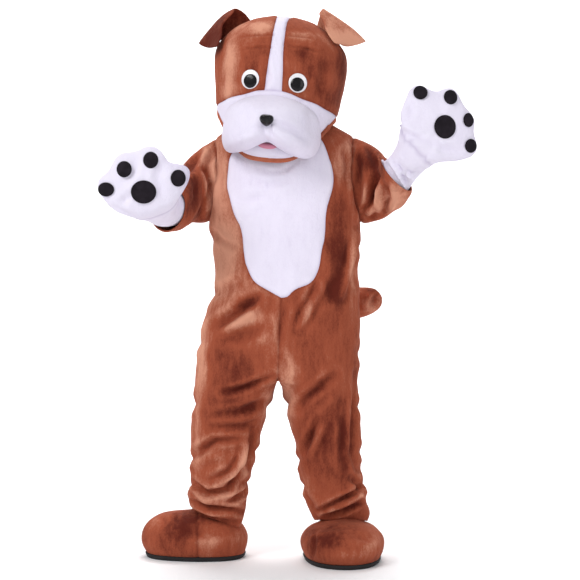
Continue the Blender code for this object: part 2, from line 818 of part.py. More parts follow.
def build_tail(tree):
    """A stuffed tail, sewn to the middle of the back, that bends to one side."""
    skin = Skin()
    back = Vector((0.0, 1.0, 0.0))
    root_at = Vector(TAIL[0][:3])
    root = tree.ray_cast(root_at + back * 0.5, -back)[0] + back * SEAT_GAP
    seat = [root]
    for share in (0.5, 1.0):
        for i in range(TAIL_SIDES):
            turn = 2.0 * math.pi * i / TAIL_SIDES
            size = TAIL[0][3] * share
            spot = root_at + Vector((-size * math.cos(turn), 0.0, size * math.sin(turn)))
            seat.append(tree.ray_cast(spot + back * 0.5, -back)[0] + back * SEAT_GAP)
    lift_clear(seat, list(seat), disc_faces(TAIL_SIDES, 2), tree, back, SEAT_GAP)
    pole = skin.add(seat[0])
    rows = []
    centres = [Vector(row[:3]) for row in TAIL] + [Vector(TAIL_TIP)]
    for ring in range(2):
        first = 1 + ring * TAIL_SIDES
        rows.append([skin.add(seat[first + i]) for i in range(TAIL_SIDES)])
    for k in range(1, len(TAIL)):
        way = (centres[k + 1] - centres[k - 1]).normalized()
        up = (Vector((0, 0, 1)) - way * way.z).normalized()
        side = up.cross(way)
        row = []
        for i in range(TAIL_SIDES):
            turn = 2.0 * math.pi * i / TAIL_SIDES
            size = TAIL[k][3]
            row.append(skin.add(centres[k] - side * (size * math.cos(turn))
                                + up * (size * math.sin(turn))))
        rows.append(row)
    tip = skin.add(TAIL_TIP)
    skin.fan(pole, rows[0], "tail", outward_first=False)
    for low, high in zip(rows, rows[1:]):
        skin.band(low, high, "tail")
    skin.fan(tip, rows[-1], "tail")
    return solid("tail", skin, BROWN)


def solid(node, skin, kind, holder=None):
    """A filled form from a closed skin, turned the right way out."""
    faces = [face[:3] for face in skin.faces]
    volume = sum(skin.points[a].dot(skin.points[b].cross(skin.points[c])) for a, b, c in faces)
    if volume < 0.0:
        faces = [(c, b, a) for a, b, c in faces]
    mesh = bpy.data.meshes.new(node)
    mesh.from_pydata([tuple(p) for p in skin.points], [], faces)
    mesh.update()
    made = bpy.data.objects.new(node, mesh)
    made.data.materials.append(material(kind))
    bpy.data.collections[COLLECTION].objects.link(made)
    made.parent = bpy.data.objects[holder or HOLDER]
    return made


# Head, in its own upright place: height over the eye line pivot, half width,
# depth to the front, depth to the back, roundness.
HEAD = [
    (-0.360, 0.162, 0.162, 0.168, 2.10),
    (-0.300, 0.177, 0.172, 0.178, 2.10),
    (-0.240, 0.190, 0.182, 0.188, 2.15),
    (-0.180, 0.200, 0.187, 0.198, 2.20),
    (-0.120, 0.210, 0.189, 0.206, 2.30),
    (-0.060, 0.219, 0.188, 0.212, 2.35),
    (0.000, 0.223, 0.185, 0.212, 2.40),
    (0.035, 0.216, 0.177, 0.203, 2.40),
    (0.065, 0.194, 0.162, 0.186, 2.35),
    (0.090, 0.166, 0.145, 0.162, 2.30),
    (0.112, 0.135, 0.120, 0.134, 2.20),
    (0.130, 0.099, 0.090, 0.099, 2.10),
    (0.141, 0.058, 0.053, 0.057, 2.00),
]
HEAD_TOP = 0.1455
# Lower rim of the head: degrees from the front, height.
HEAD_RIM = [
    (0.0, -0.352), (25.0, -0.344), (45.0, -0.302), (60.0, -0.248),
    (75.0, -0.206), (90.0, -0.184), (110.0, -0.186), (135.0, -0.218),
    (160.0, -0.262), (180.0, -0.278),
]
BAND_RISE = 0.013
HEAD_LEVELS = (0.0, 0.05, 0.32, 0.62, 1.0)
HEAD_EVEN_FROM = 5
HEAD_COLUMNS = 32
HEAD_PIVOT = Vector((-0.0117, -0.020, 1.6510))
HEAD_ROLL = 5.2
HEAD_YAW = 4.5

# Where the white lower face begins: distance from the middle, height.
FACE_EDGE = [
    (0.00, -0.129), (0.05, -0.133), (0.10, -0.144), (0.14, -0.154),
    (0.19, -0.166), (0.23, -0.172),
]
FACE_BACK = 0.022
CROWN_BACK = 0.052
# Half width of the white blaze: height, half width.
BLAZE = [
    (-0.140, 0.0270), (-0.075, 0.0275), (-0.030, 0.0205), (0.030, 0.0168),
    (0.080, 0.0180), (0.120, 0.0200), (0.146, 0.0215),
]


def rim_height(angle):
    """Height of the head's lower rim, the same on both sides."""
    turn = abs(math.degrees(angle)) % 360.0
    turn = min(turn, 360.0 - turn)
    return column_at(HEAD_RIM, turn, 1)


def head_section(z):
    """The head's section at a height."""
    return [column_at(HEAD, z, column) for column in range(1, 5)]


def head_front(x, z):
    """Y of the face for a place seen from the front."""
    half, front, _, roundness = head_section(z)
    share = min(abs(x) / half, 0.985)
    return -front * (1.0 - share ** roundness) ** (1.0 / roundness)


def build_head_skin():
    """The helmet of the head with its panels cut in."""
    skin = Skin()
    half_way = HEAD_COLUMNS // 2
    side = ["right"] * half_way + ["left"] * half_way
    angles = [2.0 * math.pi * i / HEAD_COLUMNS for i in range(HEAD_COLUMNS)]
    even = HEAD[HEAD_EVEN_FROM][0]
    heights = []
    for level in HEAD_LEVELS:
        heights.append([blend(rim_height(a), even, level) for a in angles])
    heights[1] = [rim_height(a) + BAND_RISE for a in angles]
    for row in HEAD[HEAD_EVEN_FROM + 1:]:
        heights.append([row[0]] * HEAD_COLUMNS)
    rows = []
    for level in heights:
        row = []
        for angle, z in zip(angles, level):
            half, front, back, roundness = head_section(z)
            x, y = oval(angle, -half, half, 0.0, front, back, roundness)
            row.append(skin.add((x, y, z)))
        rows.append(row)
    skin.band(rows[0], rows[1], "neck_band")
    for low, high in zip(rows[1:], rows[2:]):
        skin.band(low, high, side)
    top = skin.add((0.0, 0.0, HEAD_TOP))
    skin.fan(top, rows[-1], side, outward_first=True)
    both = ("left", "right")

    def face(point):
        edge = column_at(FACE_EDGE, abs(point.x), 1)
        return max(point.z - edge, point.y - FACE_BACK)

    def blaze(point):
        return abs(point.x) - column_at(BLAZE, point.z, 1)

    skin.cut(both, face, "lower_face")
    skin.cut(both, lambda point: CROWN_BACK - point.y,
             {"left": "head_back_left", "right": "head_back_right"},
             {"left": "crown_left", "right": "crown_right"})
    skin.cut(("crown_left", "crown_right"), blaze, "blaze")
    return skin


# Muzzle outline: degrees, radius, from the middle of the nose bridge.
MUZZLE = [
    (0.0, 0.157), (15.0, 0.151), (33.0, 0.118), (57.0, 0.093), (90.0, 0.083),
    (123.0, 0.093), (147.0, 0.118), (165.0, 0.151), (180.0, 0.157),
    (190.0, 0.166), (201.5, 0.173), (212.5, 0.179), (222.6, 0.171),
    (232.0, 0.137), (243.0, 0.104), (256.0, 0.078), (270.0, 0.068),
    (284.0, 0.078), (297.0, 0.104), (308.0, 0.137), (317.4, 0.171),
    (327.5, 0.179), (338.5, 0.173), (350.0, 0.166),
]
MUZZLE_MIDDLE_Z = -0.222
MUZZLE_SIDES = 28
MUZZLE_FRONT_SHARES = (0.28, 0.55, 0.78, 0.93, 1.0)
MUZZLE_BULGE = 0.108
MUZZLE_EDGE = 0.010
MUZZLE_SEAT = 0.0006
JOWL_OFF = 0.034
JOWL_FROM = -0.258
JOWL_SPAN = 0.028


def muzzle_thickness(share, turn, x):
    """Stuffing in front of the face, gentle at the brow, full at the jowls."""
    up = max(math.sin(math.radians(turn)), 0.0) ** 1.5
    low = max(-math.sin(math.radians(turn)), 0.0)
    gentle = (1.0 - share ** 1.7) ** 1.15
    full = (1.0 - share ** 3.4) ** 0.55
    form = blend(full, gentle, up)
    size = MUZZLE_BULGE * (1.0 - 0.20 * share * share * (1.0 - 0.3 * low))
    groove = 0.012 * math.exp(-(x / 0.016) ** 2) * low * ease(share * 2.2)
    return MUZZLE_EDGE + size * form - groove * form


def build_muzzle(tree):
    """The stuffed white muzzle with its jowls hanging free of the chin."""
    front = []
    back = []
    spots = [(0.0, 0.0)]
    for share in MUZZLE_FRONT_SHARES:
        spots += [(share, 360.0 * i / MUZZLE_SIDES) for i in range(MUZZLE_SIDES)]
    for share, turn in spots:
        size = around(MUZZLE, turn) * share
        x = size * math.cos(math.radians(turn))
        z = MUZZLE_MIDDLE_Z + size * math.sin(math.radians(turn))
        hit = tree.ray_cast(Vector((x, -0.6, z)), Vector((0.0, 1.0, 0.0)))[0]
        y = head_front(x, z) if hit is None else min(hit.y, head_front(x, z))
        off = MUZZLE_SEAT + JOWL_OFF * ease((JOWL_FROM - z) / JOWL_SPAN)
        back.append(Vector((x, y - off, z)))
        front.append(Vector((x, y - off - muzzle_thickness(share, turn, x), z)))
    faces = disc_faces(MUZZLE_SIDES, len(MUZZLE_FRONT_SHARES))
    lift_clear(back, front, faces, tree, Vector((0, -1, 0)), SEAT_GAP)
    return shell("muzzle", front, back, faces, WHITE, HEAD_HOLDER)


# Ears in the head's place. A row runs from the base on the head, over the
# fold, to the free edge in front: five points of x, y, z. Top row first.
EAR_RIGHT = [
    [(0.110, 0.010, 0.138), (0.113, 0.000, 0.163), (0.122, -0.020, 0.178),
     (0.119, -0.038, 0.170), (0.113, -0.046, 0.156)],
    [(0.130, 0.008, 0.118), (0.152, 0.010, 0.143), (0.176, -0.018, 0.151),
     (0.156, -0.048, 0.139), (0.131, -0.066, 0.126)],
    [(0.160, 0.004, 0.092), (0.197, 0.010, 0.110), (0.234, -0.022, 0.117),
     (0.194, -0.064, 0.096), (0.146, -0.098, 0.090)],
    [(0.190, 0.000, 0.064), (0.230, 0.000, 0.068), (0.277, -0.032, 0.081),
     (0.230, -0.066, 0.054), (0.176, -0.128, 0.050)],
]
EAR_LEFT = [
    [(0.114, 0.010, 0.128), (0.137, 0.004, 0.150), (0.160, -0.018, 0.157),
     (0.167, -0.042, 0.150), (0.164, -0.056, 0.138)],
    [(0.145, 0.006, 0.106), (0.176, 0.008, 0.130), (0.200, -0.020, 0.137),
     (0.200, -0.056, 0.116), (0.194, -0.092, 0.088)],
    [(0.172, 0.002, 0.084), (0.213, 0.006, 0.094), (0.243, -0.026, 0.086),
     (0.220, -0.072, 0.060), (0.188, -0.114, 0.050)],
    [(0.198, 0.000, 0.056), (0.235, -0.004, 0.046), (0.277, -0.034, 0.032),
     (0.238, -0.070, 0.012), (0.196, -0.136, 0.008)],
]
EAR_ROWS = 7
EAR_STEPS = 10
EAR_WALL = 0.005
EAR_SEAT = 0.0016
EAR_RISE = 0.0020


def smooth_row(points, t):
    """A point at a share t along a smooth line through a few points."""
    rows = [(float(i), p[0], p[1], p[2]) for i, p in enumerate(points)]
    key = t * (len(points) - 1)
    return tuple(column_at(rows, key, column) for column in (1, 2, 3))


def build_ear(node, table, sign, tree):
    """A folded ear: a sheet that stands on the head and turns over outwards."""
    skin = Skin()
    rows = []
    for r in range(EAR_ROWS):
        down = r / (EAR_ROWS - 1)
        keys = [smooth_row([row[i] for row in table], down) for i in range(len(table[0]))]
        row = []
        for s in range(EAR_STEPS):
            x, y, z = smooth_row(keys, s / (EAR_STEPS - 1))
            point = Vector((sign * x, y, z))
            if s == 0:
                hit, facing, _, _ = tree.find_nearest(point)
                point = hit + facing * EAR_SEAT
            row.append(skin.add(point))
        rows.append(row)
    for low, high in zip(rows, rows[1:]):
        if sign > 0.0:
            skin.band(high, low, "ear", closed=False)
        else:
            skin.band(low, high, "ear", closed=False)
    facing = skin.normals()
    outer = list(skin.points)
    inner = [outer[i] - facing[i] * EAR_WALL for i in range(len(outer))]
    for row in rows:
        for s in range(EAR_STEPS):
            for side in (outer, inner):
                hit, away, _, _ = tree.find_nearest(side[row[s]])
                short = EAR_SEAT + (EAR_RISE if s else 0.0) - (side[row[s]] - hit).dot(away)
                if short > 0.0:
                    side[row[s]] = side[row[s]] + away * short
    return shell(node, outer, inner, [face[:3] for face in skin.faces], BROWN, HEAD_HOLDER)


def dome(low, high, power=0.5):
    """Thickness of a disc that is low at its edge and high in its middle."""
    return lambda share, turn: low + (high - low) * max(1.0 - share * share, 0.0) ** power


def ellipse(wide, tall):
    """Radius of an upright ellipse at an angle in degrees."""
    def radius(turn):
        c = math.cos(math.radians(turn)) / wide
        s = math.sin(math.radians(turn)) / tall
        return 1.0 / math.hypot(c, s)
    return radius


# Nose outline: degrees, radius.
NOSE = [
    (0.0, 0.0225), (35.0, 0.0225), (62.0, 0.0175), (90.0, 0.0160),
    (118.0, 0.0175), (145.0, 0.0225), (180.0, 0.0225), (215.0, 0.0195),
    (245.0, 0.0195), (270.0, 0.0200), (295.0, 0.0195), (325.0, 0.0195),
]
NOSE_MIDDLE = Vector((0.0, 0.0, -0.231))
EYE_X = 0.0765
EYE_Z = -0.0935
EYE_SIZE = (0.0295, 0.0315)
PUPIL_SHIFT = (-0.0046, -0.0070)
PUPIL_SIZE = (0.0248, 0.0256)
CHIN_MIDDLE = Vector((0.0, 0.0, -0.312))
CHIN_SIZE = (0.100, 0.0235)
TONGUE_MIDDLE = Vector((0.0, 0.0, -0.3005))
TONGUE_SIZE = (0.0365, 0.0115)


def surface_of(made):
    """A finished piece as a surface that rays can be aimed at."""
    mesh = made.data
    return BVHTree.FromPolygons([v.co for v in mesh.vertices],
                                [tuple(p.vertices) for p in mesh.polygons])


def build_head():
    """Every piece of the head, in the head's own upright place."""
    skin = build_head_skin()
    facing = skin.normals()
    for panel, node, kind in (
            ("neck_band", "neck_band", BAND), ("lower_face", "lower_face", WHITE),
            ("blaze", "blaze", WHITE), ("crown_left", "crown_left", BROWN),
            ("crown_right", "crown_right", BROWN), ("head_back_left", "head_back_left", BROWN),
            ("head_back_right", "head_back_right", BROWN)):
        panel_piece(skin, panel, node, kind, HEAD_WALL, facing, HEAD_HOLDER)
    tree = tree_of(skin)
    right = Vector((1, 0, 0))
    up = Vector((0, 0, 1))
    ahead = Vector((0, -1, 0))
    muzzle = build_muzzle(tree)
    seated("nose", BLACK_GLOSS, surface_of(muzzle), (NOSE_MIDDLE + ahead * 0.3, right, up, ahead),
           lambda turn: around(NOSE, turn), (0.5, 0.85, 1.0), dome(0.003, 0.019),
           SEAT_GAP, 20, HEAD_HOLDER)
    chin = seated("chin", WHITE, tree, (CHIN_MIDDLE, right, up, ahead), ellipse(*CHIN_SIZE),
                  (0.4, 0.75, 1.0), dome(0.004, 0.024), SEAT_GAP, 24, HEAD_HOLDER)
    seated("tongue", PINK, surface_of(chin), (TONGUE_MIDDLE, right, up, ahead),
           ellipse(*TONGUE_SIZE), (0.6, 1.0), dome(0.003, 0.0065), SEAT_GAP, 16, HEAD_HOLDER)
    for node, sign in (("left", -1.0), ("right", 1.0)):
        middle = Vector((sign * EYE_X, 0.0, EYE_Z))
        eye = seated("eye_" + node, WHITE_GLOSS, tree, (middle, right, up, ahead),
                     ellipse(*EYE_SIZE), (0.5, 1.0), dome(0.0025, 0.0050), SEAT_GAP, 20, HEAD_HOLDER)
        spot = middle + Vector((sign * PUPIL_SHIFT[0], 0.0, PUPIL_SHIFT[1]))
        seated("pupil_" + node, BLACK_GLOSS, surface_of(eye), (spot, right, up, ahead),
               ellipse(*PUPIL_SIZE), (0.5, 0.88, 1.0), dome(0.0015, 0.0060), SEAT_GAP, 20, HEAD_HOLDER)
    build_ear("ear_left", EAR_LEFT, -1.0, tree)
    build_ear("ear_right", EAR_RIGHT, 1.0, tree)


# Mitts: outline in degrees and radius from the palm's middle, seen from the
# front. Lobes are the fingers.
MITT_LEFT = [
    (7, 0.145), (19, 0.156), (26, 0.147), (33, 0.125), (41, 0.096), (56, 0.112),
    (70, 0.123), (79, 0.123), (88, 0.118), (98, 0.107), (109, 0.103), (118, 0.113),
    (126, 0.122), (138, 0.120), (149, 0.115), (158, 0.109), (165, 0.128), (175, 0.149),
    (183, 0.147), (198, 0.136), (214, 0.126), (236, 0.115), (252, 0.110), (263, 0.105),
    (279, 0.101), (297, 0.100), (320, 0.112), (342, 0.122),
]
MITT_RIGHT = [
    (9, 0.102), (25, 0.098), (44, 0.092), (60, 0.104), (68, 0.121), (78, 0.129),
    (88, 0.122), (98, 0.109), (106, 0.108), (113, 0.140), (121, 0.163), (130, 0.166),
    (139, 0.154), (150, 0.145), (166, 0.141), (176, 0.138), (188, 0.135), (198, 0.165),
    (206, 0.182), (225, 0.159), (244, 0.146), (255, 0.123), (273, 0.107), (291, 0.115),
    (308, 0.127), (318, 0.137), (329, 0.132), (337, 0.116), (345, 0.097), (356, 0.097),
]
# Pads: x and z from the palm's middle, half width, half height.
PADS_LEFT = [
    (-0.115, -0.014, 0.0265, 0.0222), (-0.059, 0.048, 0.0240, 0.0259),
    (0.0216, 0.0764, 0.0237, 0.0265), (0.1053, 0.0216, 0.0237, 0.0271),
    (0.000, -0.021, 0.0397, 0.0360),
]
PADS_RIGHT = [
    (-0.0747, 0.1051, 0.0229, 0.0229), (0.0200, 0.0913, 0.0223, 0.0242),
    (0.0769, 0.0204, 0.0179, 0.0235), (0.0850, -0.0600, 0.0204, 0.0226),
    (0.0012, -0.0020, 0.0348, 0.0377),
]
MITT_SIDES = 36
MITT_PALM_SHARES = (0.40, 0.72, 0.90)
MITT_BACK_SHARES = (0.92, 0.66, 0.34)
MITT_PALM_RISE = 0.030
MITT_BACK_RISE = 0.046
# One row per mitt: middle x, y, z; turn about the upright axis and nod, in
# degrees; way to the wrist x, y, z; how far along it the opening is cut.
MITTS = {
    "left": (Vector((-0.432, -0.360, 1.2146)), 4.0, 5.0, Vector((0.22, 0.82, -0.55)), 0.047),
    "right": (Vector((0.4968, -0.270, 1.4035)), 3.0, 2.0, Vector((-0.656, 0.430, -0.613)), 0.085),
}
# Cuffs outside the sleeve: middle x, y, z; half size. Inside the sleeve a cuff
# keeps to the middle of the sleeve's last two sections.
CUFFS = {
    "left": [(-0.400, -0.288, 1.158, 0.066), (-0.388, -0.254, 1.154, 0.067)],
    "right": [(0.386, -0.186, 1.293, 0.060), (0.367, -0.164, 1.270, 0.066)],
}
CUFF_CLEAR = {"left": 0.0068, "right": 0.0078}


def mitt_frame(side):
    """Middle of the palm and its right, up and facing ways."""
    middle, turn, nod, _, _ = MITTS[side]
    spin = Matrix.Rotation(math.radians(turn), 3, "Z") @ Matrix.Rotation(math.radians(nod), 3, "X")
    return middle, spin @ Vector((1, 0, 0)), spin @ Vector((0, 0, 1)), spin @ Vector((0, -1, 0))


def cuff_rings(side):
    """Middle, way along and radius of every section of a cuff."""
    table, sign = (SLEEVE_LEFT, -1.0) if side == "left" else (SLEEVE_RIGHT, 1.0)
    rings = [(Vector(row[:3]), None, row[3]) for row in CUFFS[side]]
    for k in (-1, -2):
        centre, up, near, half, depth = sleeve_frame(table, k, sign)
        inside = up.cross(near)
        if inside.dot(centre - rings[0][0]) < 0.0:
            inside = -inside
        rings.append((centre, inside, min(half, depth) - CUFF_CLEAR[side]))
    way = ((rings[-1][0] - rings[0][0]).normalized() + rings[-2][1]).normalized()
    rings[0] = (rings[0][0], way, rings[0][2])
    rings[1] = (rings[1][0], rings[-2][1], rings[1][2])
    return rings


def add_cuff(skin, side, edge, right):
    """The tube from the wrist of a mitt into the end of the sleeve."""
    rings = cuff_rings(side)
    way = rings[0][1]
    across = (right - way * right.dot(way)).normalized()
    high = way.cross(across)
    count = len(edge)
    centre = sum((skin.points[v] for v in edge), Vector()) / count
    turns = []
    for v in edge:
        at = skin.points[v] - centre
        turn = math.atan2(at.dot(high), at.dot(across))
        if turns:
            turn += 2.0 * math.pi * round((turns[-1] - turn) / (2.0 * math.pi))
        turns.append(turn)
    lengths = [(skin.points[edge[(i + 1) % count]] - skin.points[edge[i]]).length
               for i in range(count)]
    way_round = 1.0 if turns[-1] > turns[0] else -1.0
    even = [way_round * 2.0 * math.pi * sum(lengths[:i]) / sum(lengths) for i in range(count)]
    start = sum(turn - step for turn, step in zip(turns, even)) / count
    above = edge
    for middle, facing, size in rings:
        wide = (across - facing * across.dot(facing)).normalized()
        tall = facing.cross(wide)
        row = [skin.add(middle + wide * (size * math.cos(start + step))
                        + tall * (size * math.sin(start + step))) for step in even]
        skin.band(above, row, "cuff")
        above = row


def build_mitt(side):
    """A padded mitt, open at the wrist, with a cuff and five felt pads."""
    outline, pads = (MITT_LEFT, PADS_LEFT) if side == "left" else (MITT_RIGHT, PADS_RIGHT)
    middle, right, up, facing = mitt_frame(side)
    wrist = MITTS[side][3].normalized()
    reach = MITTS[side][4]
    average = sum(row[1] for row in outline) / len(outline)
    skin = Skin()

    def ring(share, rise):
        row = []
        for i in range(MITT_SIDES):
            turn = 360.0 * i / MITT_SIDES
            size = share * blend(average, around(outline, turn), share * share)
            out = right * math.cos(math.radians(turn)) + up * math.sin(math.radians(turn))
            lobe = around(outline, turn) / average
            height = rise * max(1.0 - share ** 2.6, 0.0) ** 0.55
            height *= blend(1.0, 0.55 + 0.45 * lobe, share)
            thick = max(out.dot(wrist), 0.0) ** 2 * share * 0.5 + 1.0
            row.append(skin.add(middle + out * size + facing * (height * thick)))
        return row
    palm = skin.add(middle + facing * MITT_PALM_RISE)
    back = skin.add(middle - facing * MITT_BACK_RISE)
    rows = [ring(share, MITT_PALM_RISE) for share in MITT_PALM_SHARES]
    rim = ring(1.0, 0.0)
    behind = [ring(share, -MITT_BACK_RISE) for share in MITT_BACK_SHARES]
    skin.fan(palm, rows[0], "palm")
    for low, high in zip(rows, rows[1:] + [rim]):
        skin.band(high, low, "palm")
    for low, high in zip([rim] + behind, behind):
        skin.band(high, low, "back")
    skin.fan(back, behind[-1], "back", outward_first=False)
    cut = ("back",) if side == "left" else ("palm", "back")
    skin.cut(cut, lambda point: reach - (point - middle).dot(wrist), "wrist", snap=0.42)
    skin.drop("wrist")
    edge = skin.loop(near=middle + wrist * reach)[::-1]
    add_cuff(skin, side, edge, right)
    outward = skin.normals()
    for panel in ("palm", "back", "cuff"):
        node = "mitt_" + panel + "_" + side
        panel_piece(skin, panel, node, WHITE, MITT_WALL, outward)
    tree = tree_of(skin)
    for number, (x, z, wide, tall) in enumerate(pads, start=1):
        big = number == len(pads)
        spot = middle + right * x + up * z
        seated("pad_%s_%d" % (side, number), BLACK_FELT, tree, (spot, right, up, facing),
               ellipse(wide, tall), (0.5, 1.0) if big else (1.0,),
               dome(0.0025, 0.0035), SEAT_GAP, 18 if big else 14)


# Boot cover levels, bottom to top: reach to the toe, reach to the heel, half
# width, height on the toe side, height on the heel side.
BOOT = [
    (0.230, 0.086, 0.112, 0.0155, 0.0155),
    (0.247, 0.094, 0.124, 0.044, 0.042),
    (0.251, 0.096, 0.127, 0.080, 0.066),
    (0.240, 0.092, 0.119, 0.113, 0.087),
    (0.208, 0.086, 0.103, 0.138, 0.100),
    (0.162, 0.080, 0.088, 0.150, 0.108),
    (0.108, 0.075, 0.077, 0.152, 0.114),
    (0.074, 0.072, 0.071, 0.156, 0.126),
    (0.071, 0.070, 0.069, 0.200, 0.190),
]
BOOT_SIDES = 18
BOOT_SEAM = 0.060
SOLE = (0.236, 0.090, 0.117)
SOLE_THICK = 0.015
SOLE_TOP = 0.0155
SOLE_TUCK = 0.006
BOOTS = {
    "left": (Vector((-0.228, 0.034, 0.0)), Vector((-1.0, 0.0, 0.0)), 1.0, 1.0),
    "right": (Vector((0.187, 0.025, 0.0)), Vector((0.05, -1.0, 0.0)), 1.12, 0.87),
}


def boot_outline(side, toe, heel, half):
    """Places round a boot section, numbered from the toe."""
    ankle, ahead, wider, _ = BOOTS[side]
    ahead = ahead.normalized()
    across = Vector((-ahead.y, ahead.x, 0.0))
    places = []
    for i in range(BOOT_SIDES):
        turn = 2.0 * math.pi * i / BOOT_SIDES
        c, s = math.cos(turn), math.sin(turn)
        along = toe * abs(c) ** 0.9 if c > 0.0 else -heel * abs(c) ** 0.9
        broad = half * blend(0.86, 1.0, ease((c + 0.6) / 1.1)) * math.copysign(abs(s) ** 0.88, s)
        shaft = ease((half - 0.072) / 0.04)
        places.append((ankle + ahead * along + across * broad * blend(1.0, wider, shaft), c))
    return places


def build_boot(side):
    """A plush boot cover on its black sole, open where the leg comes in."""
    skin = Skin()
    rows = []
    for toe, heel, half, high_toe, high_heel in BOOT:
        row = []
        for place, c in boot_outline(side, toe, heel, half):
            z = blend(high_heel, high_toe, 0.5 + 0.5 * c)
            z = SOLE_TOP + (z - SOLE_TOP) * BOOTS[side][3]
            row.append(skin.add((place.x, place.y, z)))
        rows.append(row)
    for low, high in zip(rows, rows[1:]):
        skin.band(low, high, "upper")
    ankle, ahead, _, _ = BOOTS[side]
    skin.cut(("upper",), lambda point: BOOT_SEAM - (point - ankle).dot(ahead), "vamp", "heel")
    outward = skin.normals()
    panel_piece(skin, "vamp", "boot_vamp_" + side, BROWN, BOOT_WALL, outward)
    panel_piece(skin, "heel", "boot_heel_" + side, BROWN, BOOT_WALL, outward)
    sole = Skin()
    top = [sole.add((p.x, p.y, SOLE_THICK)) for p, _ in boot_outline(side, *SOLE)]
    tucked = [value - SOLE_TUCK for value in SOLE]
    low = [sole.add((p.x, p.y, 0.0)) for p, _ in boot_outline(side, *tucked)]
    sole.band(low, top, "sole")
    sole.fan(sole.add(ankle + Vector((0, 0, SOLE_THICK))), top, "sole")
    sole.fan(sole.add(ankle), low, "sole", outward_first=False)
    solid("sole_" + side, sole, SOLE_BLACK)


def build():
    """Makes the whole costume."""
    for old in list(bpy.data.objects):
        bpy.data.objects.remove(old, do_unlink=True)
    group = bpy.data.collections.new(COLLECTION)
    bpy.context.scene.collection.children.link(group)
    holder = bpy.data.objects.new(HOLDER, None)
    holder.location = (0.0, 0.0, -SHOULDER_HEIGHT)
    group.objects.link(holder)
    head = bpy.data.objects.new(HEAD_HOLDER, None)
    head.parent = holder
    head.location = HEAD_PIVOT
    head.rotation_euler = (0.0, math.radians(HEAD_ROLL), math.radians(-HEAD_YAW))
    group.objects.link(head)

    suit = build_suit_skin()
    outward = suit.normals()
    for panel, kind in (("front_left", BROWN), ("front_right", BROWN), ("back_left", BROWN),
                        ("back_right", BROWN), ("belly", WHITE), ("sleeve_left", BROWN),
                        ("sleeve_right", BROWN)):
        panel_piece(suit, panel, "suit_" + panel, kind, PLUSH_WALL, outward)
    tree = tree_of(suit)
    rows = []
    for i in range(PLACKET_ROWS):
        z = blend(PLACKET_TOP, PLACKET_FOOT, i / (PLACKET_ROWS - 1))
        x = column_at(MIDDLE, z, 1)
        rows.append([(x - PLACKET_HALF, 0.0, z), (x, 0.0, z), (x + PLACKET_HALF, 0.0, z)])
    laid_strip("placket", BROWN, tree, rows, Vector((0, 1, 0)), SEAT_GAP, PLACKET_WALL)
    build_tail(tree)
    build_head()
    for side in ("left", "right"):
        build_mitt(side)
        build_boot(side)


build()
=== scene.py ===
# %% [markdown]
# # Plush dog mascot suit
# The suit is a one-piece plush garment with a big foam-backed head, padded mitts and boot
# covers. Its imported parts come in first, and every piece below is a softer copy of one of
# them, cut and folded the way the real cloth is.

# %% Load the parts
import math
import bmesh
import bpy
import numpy as np
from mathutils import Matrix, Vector, noise
from mathutils.bvhtree import BVHTree
from mathutils.kdtree import KDTree


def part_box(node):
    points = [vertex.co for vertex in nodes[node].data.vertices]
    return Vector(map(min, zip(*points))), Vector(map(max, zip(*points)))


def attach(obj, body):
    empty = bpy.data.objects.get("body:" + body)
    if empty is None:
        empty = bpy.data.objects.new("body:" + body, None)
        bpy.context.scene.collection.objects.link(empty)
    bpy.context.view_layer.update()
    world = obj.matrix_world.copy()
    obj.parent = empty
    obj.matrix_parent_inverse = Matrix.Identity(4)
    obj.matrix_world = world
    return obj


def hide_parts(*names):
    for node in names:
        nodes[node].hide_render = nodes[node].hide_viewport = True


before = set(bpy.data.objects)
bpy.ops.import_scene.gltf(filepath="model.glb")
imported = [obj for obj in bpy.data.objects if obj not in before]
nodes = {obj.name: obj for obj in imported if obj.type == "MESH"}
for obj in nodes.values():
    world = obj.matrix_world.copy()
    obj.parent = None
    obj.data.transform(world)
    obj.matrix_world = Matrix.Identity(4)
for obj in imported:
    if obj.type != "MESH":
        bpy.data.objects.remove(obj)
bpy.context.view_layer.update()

# %% [markdown]
# ## Camera
# The suit is seen from the front, level with its middle and from well back, so that the
# head and the boots keep their true proportions.

# %% Place the camera
CAMERA_PLACE = (0.0167, -4.6, -0.508)
CAMERA_LENS = 85.66
scene = bpy.context.scene
camera_data = bpy.data.cameras.new("camera")
camera_data.lens = CAMERA_LENS
camera_data.sensor_width = 36.0
camera = bpy.data.objects.new("camera", camera_data)
scene.collection.objects.link(camera)
camera.location = CAMERA_PLACE
camera.rotation_euler = (math.radians(90.0), 0.0, 0.0)
scene.camera = camera
scene.view_settings.view_transform = "Standard"

# %% [markdown]
# ## Finishes
# Plush is dyed pile on a knitted ground. A hand drawn over it leaves light and dark
# patches, so its colour comes from where the pile was brushed and from streaks that run
# with the pile. Painted light and shade go into the same colour: highlights on the fold
# ridges, shade in the fold troughs and in the seams, and lit and shaded patches on the
# front. A small class lets sums of shader values be written like sums of numbers.

# %% Write shader sums like plain sums
class Value:
    """What comes out of one shader socket."""

    def __init__(self, finish, socket):
        self.finish = finish
        self.socket = socket

    def sum(self, way, first, second):
        return self.finish.node("ShaderNodeMath", {"operation": way}, [first, second])

    def __add__(self, other):
        return self.sum("ADD", self, other)

    def __radd__(self, other):
        return self.sum("ADD", other, self)

    def __sub__(self, other):
        return self.sum("SUBTRACT", self, other)

    def __rsub__(self, other):
        return self.sum("SUBTRACT", other, self)

    def __mul__(self, other):
        return self.sum("MULTIPLY", self, other)

    def __rmul__(self, other):
        return self.sum("MULTIPLY", other, self)

    def between(self, low, high):
        """0 below low, 1 above high, smooth on the way."""
        return self.finish.node("ShaderNodeMapRange", {"interpolation_type": "SMOOTHSTEP"},
                                {"Value": self, "From Min": low, "From Max": high})


